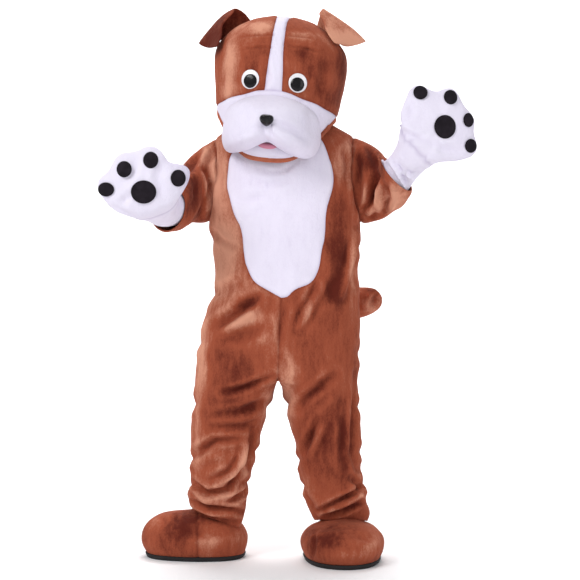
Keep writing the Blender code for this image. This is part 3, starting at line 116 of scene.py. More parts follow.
class Finish:
    """A material with one principled shader, and short ways to add nodes to it."""

    def __init__(self, name, **constants):
        self.material = bpy.data.materials.new(name)
        self.material.use_nodes = True
        self.tree = self.material.node_tree
        self.shader = self.tree.nodes["Principled BSDF"]
        for socket, value in constants.items():
            self.shader.inputs[socket.replace("_", " ")].default_value = value

    def node(self, kind, settings=None, inputs=None, out=0):
        made = self.tree.nodes.new(kind)
        for key, value in (settings or {}).items():
            setattr(made, key, value)
        pairs = inputs.items() if isinstance(inputs, dict) else enumerate(inputs or [])
        for key, value in pairs:
            if isinstance(value, Value):
                self.tree.links.new(value.socket, made.inputs[key])
            else:
                made.inputs[key].default_value = value
        return Value(self, made.outputs[out])

    def attribute(self, name):
        return self.node("ShaderNodeAttribute", {"attribute_name": name}, out="Fac")

    def place(self, stretch):
        spot = self.node("ShaderNodeTexCoord", out="Object")
        return self.node("ShaderNodeVectorMath", {"operation": "MULTIPLY"}, [spot, stretch])

    def cloud(self, size, stretch=(1.0, 1.0, 1.0), detail=2.0):
        return self.node("ShaderNodeTexNoise", {},
                         {"Vector": self.place(stretch), "Scale": 1.0 / size, "Detail": detail})

    def mix(self, share, first, second):
        made = self.tree.nodes.new("ShaderNodeMix")
        made.data_type = "RGBA"
        for socket, value in ((made.inputs[0], share), (made.inputs[6], first),
                              (made.inputs[7], second)):
            if isinstance(value, Value):
                self.tree.links.new(value.socket, socket)
            else:
                socket.default_value = value
        return Value(self, made.outputs[2])

    def bump(self, height, distance, strength=1.0):
        return self.node("ShaderNodeBump", {}, {"Height": height, "Distance": distance,
                                                "Strength": strength}, out="Normal")

    def give(self, socket, value):
        self.tree.links.new(value.socket, self.shader.inputs[socket])


def rgba(red, green, blue):
    """A colour read as 0 to 255, in the linear values that a shader takes."""
    def linear(v):
        v = v / 255.0
        return v / 12.92 if v <= 0.04045 else ((v + 0.055) / 1.055) ** 2.4
    return (linear(red), linear(green), linear(blue), 1.0)


def plush(name, dark, mid, light, streak, patch=1.0, sheen=0.35):
    """Pile that goes from dark to light with the way it lies, and with painted light and shade."""
    finish = Finish(name, Roughness=0.92, Sheen_Weight=sheen, Sheen_Roughness=0.45,
                    Specular_IOR_Level=0.12, Sheen_Tint=light)
    # The pile's lightness holds its brushed look together with painted highlights on fold ridges,
    # painted shade in fold troughs, and lit and shaded patches of the front.
    lie_and_painted_light = finish.attribute("nap_and_painted_light") * patch
    wide = finish.cloud(0.085, (1.0, 1.0, 0.6), 3.0) - 0.5
    streaks = finish.cloud(0.014, (1.0, 1.0, 0.28), 2.0) - 0.5
    grain = finish.cloud(0.0035, (1.0, 1.0, 0.5), 1.0) - 0.5
    lie_and_painted_light = lie_and_painted_light + wide * (1.5 * streak) + streaks * streak + grain * (0.7 * streak)
    # Painted shade in the seam grooves and fold troughs draws the colour towards dark.
    shade = finish.attribute("seam") * 0.75 + finish.attribute("fold") * 0.55
    tone = finish.mix(lie_and_painted_light.between(-0.05, 1.15), mid, light)
    tone = finish.mix((0.0 - lie_and_painted_light).between(-0.05, 1.0), tone, dark)
    tone = finish.mix(shade.between(0.0, 1.6), tone, dark)
    finish.give("Base Color", tone)
    pile = finish.cloud(0.0024, (1.0, 1.0, 0.45), 3.0) + finish.cloud(0.011, (1.0, 1.0, 0.6)) * 1.4
    finish.give("Normal", finish.bump(pile, 0.0016, 0.7))
    return finish.material


# %% [markdown]
# The brown is a long-pile velour, red in the shade and tan where the light rakes it. The
# white is a cooler, shorter pile. Felt, gloss paint on moulded eyes, and boot rubber are
# plain, with a little wear.

# %% Mix the finishes
def plain(name, base, worn, rough, spread, bump_size, bump_height, **more):
    """A hard or felted finish with slightly uneven tone and shine."""
    finish = Finish(name, **more)
    uneven = finish.cloud(0.03, detail=4.0)
    finish.give("Base Color", finish.mix(uneven.between(0.35, 0.75), base, worn))
    finish.give("Roughness", uneven * spread + rough)
    finish.give("Normal", finish.bump(finish.cloud(bump_size), bump_height, 0.6))
    return finish.material


# Each pile's dark tone is also the colour of its painted shade, and its light tone that of its
# painted highlights as well as of its brushed patches.
FINISHES = {
    "plush_brown": plush("brown_pile", rgba(92, 34, 24), rgba(156, 78, 54),
                         rgba(212, 150, 124), 0.85, sheen=0.2),
    "plush_white": plush("white_pile", rgba(178, 164, 196), rgba(232, 226, 242),
                         rgba(246, 243, 252), 0.42, 0.6, sheen=0.15),
    "band_brown": plush("band_pile", rgba(120, 52, 34), rgba(186, 104, 78),
                        rgba(214, 142, 112), 0.5),
    "plush_pink": plush("pink_pile", rgba(176, 92, 118), rgba(216, 140, 160),
                        rgba(228, 168, 184), 0.4),
    "felt_black": plain("black_felt", rgba(26, 21, 27), rgba(38, 32, 39), 0.9, 0.1,
                        0.0022, 0.0009, Sheen_Weight=0.05,
                        Specular_IOR_Level=0.15),
    "gloss_black": plain("black_gloss", rgba(10, 9, 11), rgba(20, 17, 19), 0.16, 0.12,
                         0.02, 0.0002, Specular_IOR_Level=0.3),
    "gloss_white": plain("white_gloss", rgba(240, 238, 242), rgba(228, 226, 232), 0.16, 0.1,
                         0.02, 0.0002, Coat_Weight=0.4, Coat_Roughness=0.1),
    "sole_black": plain("black_rubber", rgba(20, 17, 19), rgba(32, 28, 30), 0.7, 0.2,
                        0.004, 0.0005),
}
print("finishes", sorted(FINISHES))

# %% [markdown]
# ## Taking the outer side of a panel
# A panel of cloth has an outer side, an inner side and a thin rim. Only the outer side is
# worked on, and its wall is put back at the end. A rim face sees its far wall a long way
# off, so it is easy to tell from the two sides. The outer side is the larger one.

# %% Lift the outer side off a panel
NARROW_BAND = 1.2
WIDE_PANEL = 1.5


def outer_side(name, wall):
    """Triangles on the outer side of a packed panel, as three points each."""
    far = wall * (NARROW_BAND if name == "neck_band" else WIDE_PANEL)
    work = bmesh.new()
    work.from_mesh(nodes[name].data)
    bmesh.ops.remove_doubles(work, verts=work.verts, dist=1e-5)
    bmesh.ops.triangulate(work, faces=work.faces)
    work.normal_update()
    work.faces.ensure_lookup_table()
    tree = BVHTree.FromBMesh(work)
    sides = set()
    for face in work.faces:
        start = face.calc_center_median() - face.normal * 1e-5
        if tree.ray_cast(start, -face.normal, far)[0] is not None:
            sides.add(face.index)
    groups = []
    while sides:
        todo = [sides.pop()]
        group = []
        while todo:
            face = work.faces[todo.pop()]
            group.append(face)
            for edge in face.edges:
                for other in edge.link_faces:
                    if other.index in sides and other.normal.dot(face.normal) > 0.0:
                        sides.discard(other.index)
                        todo.append(other.index)
        groups.append((sum(face.calc_area() for face in group), group))
    groups.sort(key=lambda pair: -pair[0])
    kept = [[v.co.copy() for v in face.verts] for face in groups[0][1]]
    others = [round(pair[0], 4) for pair in groups[1:4]]
    print("  ", name, "of", len(work.faces), "kept", len(kept), round(groups[0][0], 4), others)
    work.free()
    return kept


# %% [markdown]
# ## One skin out of several panels
# Panels that are sewn together are joined into one skin while they are shaped, so that a
# fold runs on across a seam as it does in cloth. Each face keeps the number of its panel.

# %% Sew panels into one skin and refine it
def finer(mesh, levels):
    """The mesh after smooth subdivision."""
    holder = bpy.data.objects.new("work", mesh)
    scene.collection.objects.link(holder)
    smooth = holder.modifiers.new("smooth", "SUBSURF")
    smooth.levels = levels
    smooth.render_levels = levels
    smooth.boundary_smooth = "PRESERVE_CORNERS"
    depsgraph = bpy.context.evaluated_depsgraph_get()
    result = bpy.data.meshes.new_from_object(holder.evaluated_get(depsgraph))
    bpy.data.objects.remove(holder)
    return result


def sewn(names, wall, levels, weld=0.0009):
    """One refined skin: a mesh whose material number is the panel's place in names."""
    work = bmesh.new()
    for number, name in enumerate(names):
        for corners in outer_side(name, wall):
            face = work.faces.new([work.verts.new(corner) for corner in corners])
            face.material_index = number
    bmesh.ops.remove_doubles(work, verts=work.verts, dist=weld)
    bmesh.ops.join_triangles(work, faces=work.faces, cmp_materials=True,
                             angle_face_threshold=0.6, angle_shape_threshold=1.0)
    mesh = bpy.data.meshes.new("skin")
    work.to_mesh(mesh)
    work.free()
    return finer(mesh, levels)


SEAM_STEP = 0.003


class Cloth:
    """Points, faces and panel numbers of a skin, kept as arrays while it is shaped."""

    def __init__(self, mesh, names):
        self.names = names
        count = len(mesh.vertices)
        self.points = np.empty(count * 3)
        mesh.vertices.foreach_get("co", self.points)
        self.points = self.points.reshape(-1, 3)
        self.faces = [tuple(face.vertices) for face in mesh.polygons]
        self.panel = [face.material_index for face in mesh.polygons]
        # Per point: the pile's lightness with its painted light and shade, and how much painted
        # shade the seam grooves and fold troughs give.
        self.nap_and_painted_light = np.zeros(count)
        self.seam = np.zeros(count)
        self.fold = np.zeros(count)
        self.turn()
        ends = {}
        for number, face in enumerate(self.faces):
            for a, b in zip(face, face[1:] + face[:1]):
                ends.setdefault((min(a, b), max(a, b)), []).append(self.panel[number])
        self.seams = [edge for edge, seen in ends.items() if len(set(seen)) > 1]
        self.open = [edge for edge, seen in ends.items() if len(seen) == 1]
        self.links = np.array(list(ends.keys()))
        print("  skin", len(self.points), "seam edges", len(self.seams), "open", len(self.open))

    def turn(self):
        """Works out the facing of every point."""
        quads = np.array([face if len(face) == 4 else face + face[-1:] for face in self.faces])
        corner = self.points[quads]
        facing = np.cross(corner[:, 2] - corner[:, 0], corner[:, 3] - corner[:, 1])
        self.facing = np.zeros_like(self.points)
        for k in range(4):
            np.add.at(self.facing, quads[:, k], facing)
        self.facing /= np.linalg.norm(self.facing, axis=1)[:, None] + 1e-12

    def soften(self, times, share=0.5, held=()):
        """Evens out the skin. Open edges and held points stay where they are."""
        fixed = np.zeros(len(self.points), bool)
        fixed[np.array(self.open).ravel()] = True
        fixed[list(held)] = True
        count = np.zeros(len(self.points))
        np.add.at(count, self.links[:, 0], 1.0)
        np.add.at(count, self.links[:, 1], 1.0)
        for _ in range(times):
            total = np.zeros_like(self.points)
            np.add.at(total, self.links[:, 0], self.points[self.links[:, 1]])
            np.add.at(total, self.links[:, 1], self.points[self.links[:, 0]])
            moved = total / count[:, None] - self.points
            moved[fixed] = 0.0
            self.points += moved * share
        self.turn()

    def run_smooth(self, edges, times):
        """Evens out a seam or an open edge along itself. Points where seams meet stay."""
        near = {}
        for a, b in edges:
            near.setdefault(a, set()).add(b)
            near.setdefault(b, set()).add(a)
        left = {tuple(sorted(edge)) for edge in edges}
        starts = [v for v, ends in near.items() if len(ends) != 2] + list(near)
        for start in starts:
            for step in list(near[start]):
                if tuple(sorted((start, step))) not in left:
                    continue
                chain = [start, step]
                left.discard(tuple(sorted((start, step))))
                while len(near[chain[-1]]) == 2 and chain[-1] != start:
                    on = [v for v in near[chain[-1]] if tuple(sorted((chain[-1], v))) in left]
                    if not on:
                        break
                    left.discard(tuple(sorted((chain[-1], on[0]))))
                    chain.append(on[0])
                self.even_out(chain, times)
        self.soften(8, 0.5, held=set(near))

    def even_out(self, chain, times):
        """Smooths one run of points at an even spacing, so that short edges don't hold it."""
        line = self.points[chain]
        way = np.concatenate([[0.0], np.cumsum(np.linalg.norm(np.diff(line, axis=0), axis=1))])
        count = max(int(way[-1] / SEAM_STEP), 3) + 1
        marks = np.linspace(0.0, way[-1], count)
        even = np.stack([np.interp(marks, way, line[:, k]) for k in range(3)], axis=1)
        closed = chain[0] == chain[-1]
        for _ in range(times):
            middle = (even[:-2] + even[2:]) / 2.0
            turned = (even[-2] + even[1]) / 2.0
            even[1:-1] += (middle - even[1:-1]) * 0.5
            if closed:
                even[0] = even[-1] = (even[0] + turned) / 2.0
        self.points[chain] = np.stack([np.interp(way, marks, even[:, k]) for k in range(3)],
                                      axis=1)

    def reach(self, edges, far):
        """Distance of every point from the nearest of these edges, up to far."""
        tree = KDTree(len(edges) * 4)
        number = 0
        for a, b in edges:
            for share in (0.0, 0.25, 0.5, 0.75):
                tree.insert(self.points[a] * (1.0 - share) + self.points[b] * share, number)
                number += 1
        tree.balance()
        if not edges:
            return np.full(len(self.points), far)
        return np.array([min(tree.find(point)[2], far) for point in self.points])


def ease(value, low, high):
    """0 below low, 1 above high, smooth between them."""
    t = np.clip((value - low) / (high - low), 0.0, 1.0)
    return t * t * (3.0 - 2.0 * t)


# %% [markdown]
# ## Places marked on the photo
# The folds and patches of the front were marked on the photo, in its pixels. How far
# forward each region lies, in metres, turns such a mark into a place on the suit, in the
# same way as the camera sees it. At the shoulders there are 300 pixels to the metre.

# %% Turn marks on the photo into places on the suit
PHOTO_MIDDLE = 290.0
PHOTO_REACH = 1380.0
FORWARD = {
    "trunk": -0.16, "legs": -0.11, "left_shoulder": -0.14, "left_sleeve": -0.15,
    "right_sleeve": -0.12, "right_cuff": -0.25, "right_thumb": -0.27, "right_wrist": -0.24,
    "right_mitt": -0.30, "left_mitt": -0.39, "left_ankle": -0.08, "right_boot": -0.20,
    "right_ankle": -0.15, "brow": -0.17, "over_eyes": -0.19, "left_boot": -0.15, "tail": 0.20,
}


def pixel_size(region):
    """Metres that one pixel spans on that region of the suit."""
    return (FORWARD[region] - CAMERA_PLACE[1]) / PHOTO_REACH


def seen(region, *marks):
    """Marks across and down the photo as places across and up the suit, to the millimetre."""
    size = pixel_size(region)
    return [(round(CAMERA_PLACE[0] + (across - PHOTO_MIDDLE) * size, 3),
             round(CAMERA_PLACE[2] + (PHOTO_MIDDLE - down) * size, 3)) for across, down in marks]


def patches(region, *rows):
    """Patches marked on the photo: middle across and down, half width, half height, light."""
    size = pixel_size(region)
    return [(*seen(region, (across, down))[0], round(wide * size, 3), round(tall * size, 3),
             light) for across, down, wide, tall, light in rows]


# %% [markdown]
# ## Folds
# Cloth that is too long for the body inside it sags into troughs with a soft ridge on each
# side. Each row is one fold: the side it is on, its points along the cloth, half its width,
# and its depth, which is negative for a ridge. The points are marks on the photo, or
# places in metres on the sides that it hides. Widths and depths are in metres and differ
# from fold to fold as they do on the real suit.

# %% Fold tables for the suit
SUIT_FOLDS = [
    ("front", seen("trunk", (212.1, 230.8), (220.2, 238.8), (232.2, 247.5)), 0.008, 0.005),
    ("front", seen("trunk", (220.2, 293.7), (228, 288), (236.2, 283)), 0.014, 0.005),
    ("front", seen("trunk", (255, 298), (236.2, 313.5), (214.8, 326.4)), 0.015, 0.012),
    ("front", seen("trunk", (262, 303), (246, 318), (226, 331)), 0.013, -0.005),
    ("front", seen("trunk", (322, 284.4), (308.6, 308.5), (299.5, 328.2)), 0.010, -0.008),
    ("front", seen("trunk", (316.5, 286), (303, 309), (296, 322)), 0.010, 0.006),
    ("front", seen("trunk", (359.5, 232), (350, 265.6), (342.5, 296)), 0.010, -0.009),
    ("front", seen("trunk", (338, 272), (332, 288), (330, 300)), 0.013, 0.006),
    ("front", seen("trunk", (258, 168), (271, 173.9), (287.1, 169.2), (297, 160)), 0.007, 0.004),
    ("front", seen("trunk", (252, 180), (268, 184.5), (288, 179)), 0.011, 0.004),
    ("front", seen("trunk", (238.9, 200), (252, 199), (265.7, 194.6)), 0.013, 0.004),
    ("front", seen("trunk", (244, 212), (255, 210), (263, 206)), 0.012, 0.003),
    ("front", seen("trunk", (206, 168), (209.8, 181.5), (206.6, 200)), 0.010, 0.011),
    ("front", seen("trunk", (214, 146), (208.5, 158), (205, 168)), 0.010, 0.007),
    ("front", seen("trunk", (220, 150), (217, 165), (219, 182)), 0.009, 0.004),
    ("front", seen("trunk", (345, 150), (349, 165), (347, 182)), 0.010, 0.005),
    ("front", seen("trunk", (356, 140), (359, 160), (358, 182), (361, 205)), 0.012, 0.008),
    ("front", seen("legs", (265.7, 324.2), (247, 336.2), (224.2, 337.6)), 0.016, 0.007),
    ("front", seen("legs", (273.7, 374.5), (255, 383.1), (233.6, 389.8), (222, 391.2)),
     0.009, 0.010),
    ("front", seen("legs", (268, 393), (250, 396), (234, 400)), 0.012, -0.004),
    ("front", seen("legs", (262, 403), (240.3, 412.6), (218, 415.3)), 0.013, 0.009),
    ("front", seen("legs", (252, 424), (230.9, 426.5), (211, 428.7)), 0.013, 0.008),
    ("front", seen("legs", (190, 458), (202.8, 448.7), (214.8, 440.7), (236.2, 438.4)),
     0.011, 0.011),
    ("front", seen("legs", (196, 466), (208, 459), (222, 455)), 0.012, -0.005),
    ("front", seen("legs", (253.4, 430), (251, 448.7), (247.6, 469)), 0.009, 0.010),
    ("front", seen("legs", (246.4, 446), (242.4, 460.8), (233.1, 475.5), (216, 485)),
     0.009, -0.008),
    ("front", seen("legs", (236, 462), (228, 472), (212, 480)), 0.010, 0.006),
    ("front", seen("legs", (285.8, 301.4), (281.8, 324.2), (278.9, 343)), 0.010, 0.005),
    ("front", seen("legs", (283, 356), (287, 366), (284, 376)), 0.010, 0.004),
    ("front", seen("legs", (335.4, 374), (324.6, 381.8), (305.9, 397.9), (298, 410)),
     0.012, 0.009),
    ("front", seen("legs", (342, 388), (332, 398), (318, 414)), 0.014, -0.004),
    ("front", seen("legs", (318, 418), (312, 434), (305, 452)), 0.011, 0.008),
    ("front", seen("legs", (323, 424), (317, 438), (309, 457)), 0.010, -0.006),
    ("front", seen("legs", (357, 372), (354.1, 413.9), (352.3, 454.1), (357.5, 473)),
     0.009, 0.009),
    ("front", seen("legs", (344, 420), (343, 445), (345, 468)), 0.012, 0.006),
    ("front", seen("legs", (190, 483.5), (205.8, 494.5), (226.4, 491.3), (240.2, 470.9)),
     0.009, 0.011),
    ("front", seen("legs", (192, 492), (206, 502), (222, 501)), 0.009, -0.007),
    ("front", seen("legs", (188, 504), (207.5, 509.7), (233.3, 511.5), (242, 516)), 0.008, 0.012),
    ("front", seen("legs", (229, 504), (239, 498.2), (249, 491)), 0.008, 0.010),
    ("front", seen("legs", (196, 517), (219.5, 523.5), (240, 526)), 0.008, 0.007),
    ("front", seen("legs", (320, 512.4), (336.6, 503.8), (353.9, 494.9), (364, 487)),
     0.008, 0.013),
    ("front", seen("legs", (325, 519), (341.8, 514.5), (362, 504)), 0.008, 0.010),
    ("front", seen("legs", (328, 509), (346, 501)), 0.008, -0.005),
    ("front", seen("legs", (305, 498), (313, 508), (316, 518)), 0.010, 0.006),
    ("front", seen("legs", (352, 478), (362, 490), (371, 500)), 0.009, 0.007),
    ("front", seen("left_shoulder", (198, 150), (192, 162), (189, 172)), 0.010, 0.007),
    ("front", seen("trunk", (185.8, 196), (186.4, 206.5), (182.5, 219), (180, 228)),
     0.008, -0.007),
    ("front", seen("trunk", (180.8, 197.6), (176.3, 212.8), (168, 226)), 0.010, 0.010),
    ("front", seen("left_sleeve", (196, 182), (199, 198), (195, 213)), 0.012, 0.009),
    ("front", seen("right_sleeve", (377.6, 176), (373.4, 193.1), (370.3, 201.5), (363, 213)),
     0.009, 0.013),
    ("front", seen("right_sleeve", (383, 184), (387.6, 199.4), (384, 216)), 0.009, 0.010),
    ("front", seen("right_sleeve", (379, 184), (377, 199), (380, 210)), 0.010, -0.007),
    ("front", seen("right_sleeve", (364, 216.2), (372.4, 217.2), (381, 212)), 0.008, 0.007),
    ("front", seen("right_sleeve", (366, 168), (369, 184), (366, 198)), 0.011, -0.005),
    ("front", seen("right_sleeve", (394, 186), (406, 189), (414, 191)), 0.006, 0.003),
    ("front", seen("right_sleeve", (371, 150), (377, 165), (379, 178)), 0.010, 0.006),
    ("back", [(-0.190, -0.110), (-0.160, -0.190), (-0.175, -0.275)], 0.013, 0.008),
    ("back", [(0.185, -0.090), (0.165, -0.165), (0.190, -0.240)], 0.012, 0.008),
    ("back", [(-0.170, -0.355), (-0.110, -0.385), (-0.040, -0.375)], 0.015, 0.006),
    ("back", [(0.050, -0.350), (0.115, -0.372), (0.185, -0.350)], 0.014, 0.006),
    ("back", [(-0.195, -0.470), (-0.120, -0.505), (-0.035, -0.500)], 0.015, 0.008),
    ("back", [(0.035, -0.470), (0.110, -0.495), (0.160, -0.480)], 0.014, 0.006),
    ("back", [(-0.045, -0.610), (-0.115, -0.680), (-0.205, -0.715)], 0.014, 0.009),
    ("back", [(0.035, -0.625), (0.095, -0.690), (0.190, -0.725)], 0.013, 0.008),
    ("back", [(-0.070, -0.790), (-0.150, -0.825), (-0.235, -0.820)], 0.011, 0.011),
    ("back", [(0.060, -0.800), (0.135, -0.835), (0.215, -0.830)], 0.012, 0.010),
    ("back", [(-0.100, -0.895), (-0.175, -0.925), (-0.245, -0.915)], 0.012, 0.009),
    ("back", [(0.070, -0.915), (0.150, -0.935), (0.220, -0.955)], 0.012, 0.008),
    ("back", [(-0.120, -0.990), (-0.190, -1.005), (-0.275, -1.030)], 0.011, 0.010),
    ("back", [(0.090, -1.010), (0.145, -1.045), (0.215, -1.050)], 0.011, 0.008),
    ("back", [(-0.140, -1.110), (-0.215, -1.145), (-0.290, -1.135)], 0.009, 0.010),
    ("back", [(-0.150, -1.185), (-0.225, -1.205), (-0.300, -1.185)], 0.009, 0.011),
    ("back", [(0.120, -1.150), (0.180, -1.170), (0.250, -1.155)], 0.009, 0.011),
    ("back", [(0.135, -1.215), (0.195, -1.235), (0.260, -1.210)], 0.008, 0.010),
    ("back", [(-0.290, -0.075), (-0.315, -0.135), (-0.300, -0.190)], 0.011, 0.009),
    ("back", [(-0.345, -0.130), (-0.360, -0.185), (-0.345, -0.240)], 0.010, 0.009),
    ("back", [(0.285, -0.070), (0.310, -0.130), (0.300, -0.200)], 0.011, 0.010),
    ("back", [(0.335, -0.120), (0.350, -0.165), (0.340, -0.215)], 0.010, 0.008),
    ("left", [(-0.060, -0.330), (0.010, -0.350), (0.070, -0.335)], 0.016, 0.003),
    ("left", [(-0.070, -0.500), (0.000, -0.530), (0.080, -0.520)], 0.018, 0.004),
    ("left", [(-0.080, -0.655), (0.010, -0.690), (0.085, -0.680)], 0.017, 0.004),
    ("left", [(-0.060, -0.870), (0.020, -0.900), (0.090, -0.885)], 0.016, 0.005),
    ("left", [(-0.040, -1.060), (0.030, -1.085), (0.100, -1.065)], 0.013, 0.005),
    ("left", [(-0.020, -1.150), (0.040, -1.175), (0.110, -1.160)], 0.012, 0.005),
    ("right", [(-0.060, -0.350), (0.015, -0.375), (0.075, -0.365)], 0.016, 0.003),
    ("right", [(-0.055, -0.700), (0.020, -0.735), (0.090, -0.720)], 0.017, 0.004),
    ("right", [(-0.060, -0.880), (0.010, -0.905), (0.080, -0.925)], 0.016, 0.004),
    ("right", [(-0.075, -1.030), (0.000, -1.050), (0.060, -1.040)], 0.014, 0.004),
    ("right", [(-0.090, -1.130), (-0.010, -1.155), (0.055, -1.140)], 0.012, 0.005),
]

# %% [markdown]
# The mitts wrinkle at the wrist and across the palm, and the boots crease at the ankle.
# The head is stiff with foam. Only its darts and the pull lines round the eyes show.

# %% Fold tables for the mitts, boots and head
MITT_FOLDS = [
    ("front", seen("right_cuff", (391.4, 156), (397.6, 165.7), (404, 176.3), (410.3, 184.7),
                   (414, 192)), 0.006, 0.007),
    ("front", seen("right_thumb", (402, 167), (412.4, 173.6), (420, 172)), 0.006, 0.006),
    ("front", seen("right_wrist", (384, 159.4), (391.3, 173.1), (399.7, 184.7)), 0.006, 0.005),
    ("front", seen("right_mitt", (398, 128.5), (408.2, 134.2), (420, 138.4), (432.4, 144.7)),
     0.009, 0.005),
    ("front", seen("right_mitt", (431, 141), (442.9, 147.9), (460, 151.5)), 0.009, 0.004),
    ("front", seen("right_mitt", (405, 120), (410, 112), (412, 104)), 0.010, 0.004),
    ("front", seen("left_mitt", (112.9, 206), (122.7, 211.4), (133.4, 217.6)), 0.007, 0.004),
    ("front", seen("left_mitt", (136, 160), (133, 172), (124, 182)), 0.012, 0.004),
    ("front", seen("left_mitt", (160, 165), (158, 180), (162, 198)), 0.013, 0.004),
    ("front", seen("left_mitt", (128, 196), (122, 204)), 0.010, 0.003),
    ("back", [(-0.490, -0.150), (-0.440, -0.190), (-0.385, -0.195)], 0.010, 0.005),
    ("back", [(-0.470, -0.240), (-0.430, -0.262), (-0.380, -0.255)], 0.009, 0.005),
    ("back", [(0.400, -0.010), (0.455, -0.035), (0.520, -0.030)], 0.010, 0.005),
    ("back", [(0.380, -0.080), (0.420, -0.105), (0.465, -0.100)], 0.008, 0.006),
]
BOOT_FOLDS = [
    ("front", seen("left_ankle", (166.2, 503), (173, 513.7), (176, 526)), 0.008, 0.006),
    ("front", seen("left_ankle", (152, 514), (161, 520), (166, 530)), 0.010, 0.004),
    ("front", [(-0.330, -1.300), (-0.270, -1.308), (-0.215, -1.300)], 0.012, 0.004),
    ("front", seen("right_boot", (316.8, 530), (316, 545), (315.1, 560)), 0.005, 0.004),
    ("front", seen("right_ankle", (306, 534), (322, 527), (342, 524)), 0.008, 0.005),
    ("front", [(0.215, -1.290), (0.262, -1.305), (0.300, -1.298)], 0.010, 0.004),
    ("back", [(-0.330, -1.280), (-0.270, -1.296), (-0.210, -1.288)], 0.010, 0.005),
    ("back", [(0.120, -1.285), (0.180, -1.300), (0.240, -1.290)], 0.010, 0.005),
]
HEAD_FOLDS = [
    ("front", seen("brow", (240.5, 35.6), (258, 34.8), (275.2, 35.4)), 0.004, 0.0030),
    ("front", seen("over_eyes", (240.5, 47.9), (258, 46.9), (274.2, 47.6)), 0.004, 0.0030),
    ("front", seen("brow", (287.2, 36.4), (300, 36.6), (313, 38.2)), 0.004, 0.0030),
    ("front", seen("over_eyes", (290, 46.2), (303, 47.6), (315.9, 50.7), (324, 50)),
     0.004, 0.0030),
    ("front", [(-0.165, 0.215), (-0.158, 0.165), (-0.168, 0.130)], 0.012, 0.004),
    ("front", [(-0.060, 0.215), (-0.052, 0.165), (-0.070, 0.130)], 0.010, 0.004),
    ("front", [(0.128, 0.215), (0.122, 0.160), (0.105, 0.120)], 0.012, 0.004),
    ("back", [(-0.120, 0.310), (-0.060, 0.318), (-0.015, 0.314)], 0.004, 0.0025),
    ("back", [(0.015, 0.312), (0.060, 0.316), (0.115, 0.306)], 0.004, 0.0025),
    ("back", [(-0.110, 0.100), (-0.050, 0.085), (0.020, 0.090)], 0.014, 0.004),
]
FOLD_DEPTH = 1.8
# Painted highlight on fold ridges and painted shade in fold troughs: their strength, and the fold
# depths that give the full amount.
RIDGE_LIGHT = 0.40
TROUGH_SHADE = 0.30
DARK_AT = 0.011
LIT_AT = 0.010
FOLD_SIDES = {"front": (0, 1, -1.0), "back": (0, 1, 1.0), "left": (1, 0, -1.0),
              "right": (1, 0, 1.0)}


def side_share(cloth, side):
    """How far each point belongs to that side, and the axis that runs along the side."""
    along, across, sign = FOLD_SIDES[side]
    low, high = (0.10, 0.50) if across == 1 else (0.35, 0.8)
    return along, ease(cloth.facing[:, across] * sign, low, high)


def add_folds(cloth, table, ridge=0.42):
    """Presses the folds of a table into the skin along its own facing."""
    push = np.zeros(len(cloth.points))
    sides = {side: side_share(cloth, side) for side in FOLD_SIDES}
    for side, line, width, depth in table:
        along, share = sides[side]
        flat = np.stack([cloth.points[:, along], cloth.points[:, 2]], axis=1)
        line = np.array(line)
        spans = np.linalg.norm(np.diff(line, axis=0), axis=1)
        starts = np.concatenate([[0.0], np.cumsum(spans)])
        best = np.full(len(flat), 9.0)
        way = np.zeros(len(flat))
        for k, span in enumerate(spans):
            step = (line[k + 1] - line[k]) / span
            t = np.clip((flat - line[k]) @ step, 0.0, span)
            gap = np.linalg.norm(flat - line[k] - t[:, None] * step, axis=1)
            near = gap < best
            best[near] = gap[near]
            way[near] = (starts[k] + t[near]) / starts[-1]
        fade = np.sin(np.pi * np.clip(0.08 + 0.84 * way, 0.0, 1.0)) ** 0.7
        trough = np.exp(-(best / width) ** 2)
        shoulder = np.exp(-((best - 2.1 * width) / (0.9 * width)) ** 2)
        amount = share * fade * (shoulder * ridge - trough)
        push += amount * depth * FOLD_DEPTH
        # Painted shade: the trough of each fold darkens the colour.
        cloth.fold += share * fade * trough * max(depth, 0.0) / DARK_AT
        # Painted light and shade: the ridges beside a trough lighten the pile's colour and the
        # trough darkens it.
        lit = RIDGE_LIGHT * shoulder - TROUGH_SHADE * trough
        cloth.nap_and_painted_light += share * fade * lit * depth / LIT_AT
    cloth.points += cloth.facing * push[:, None]
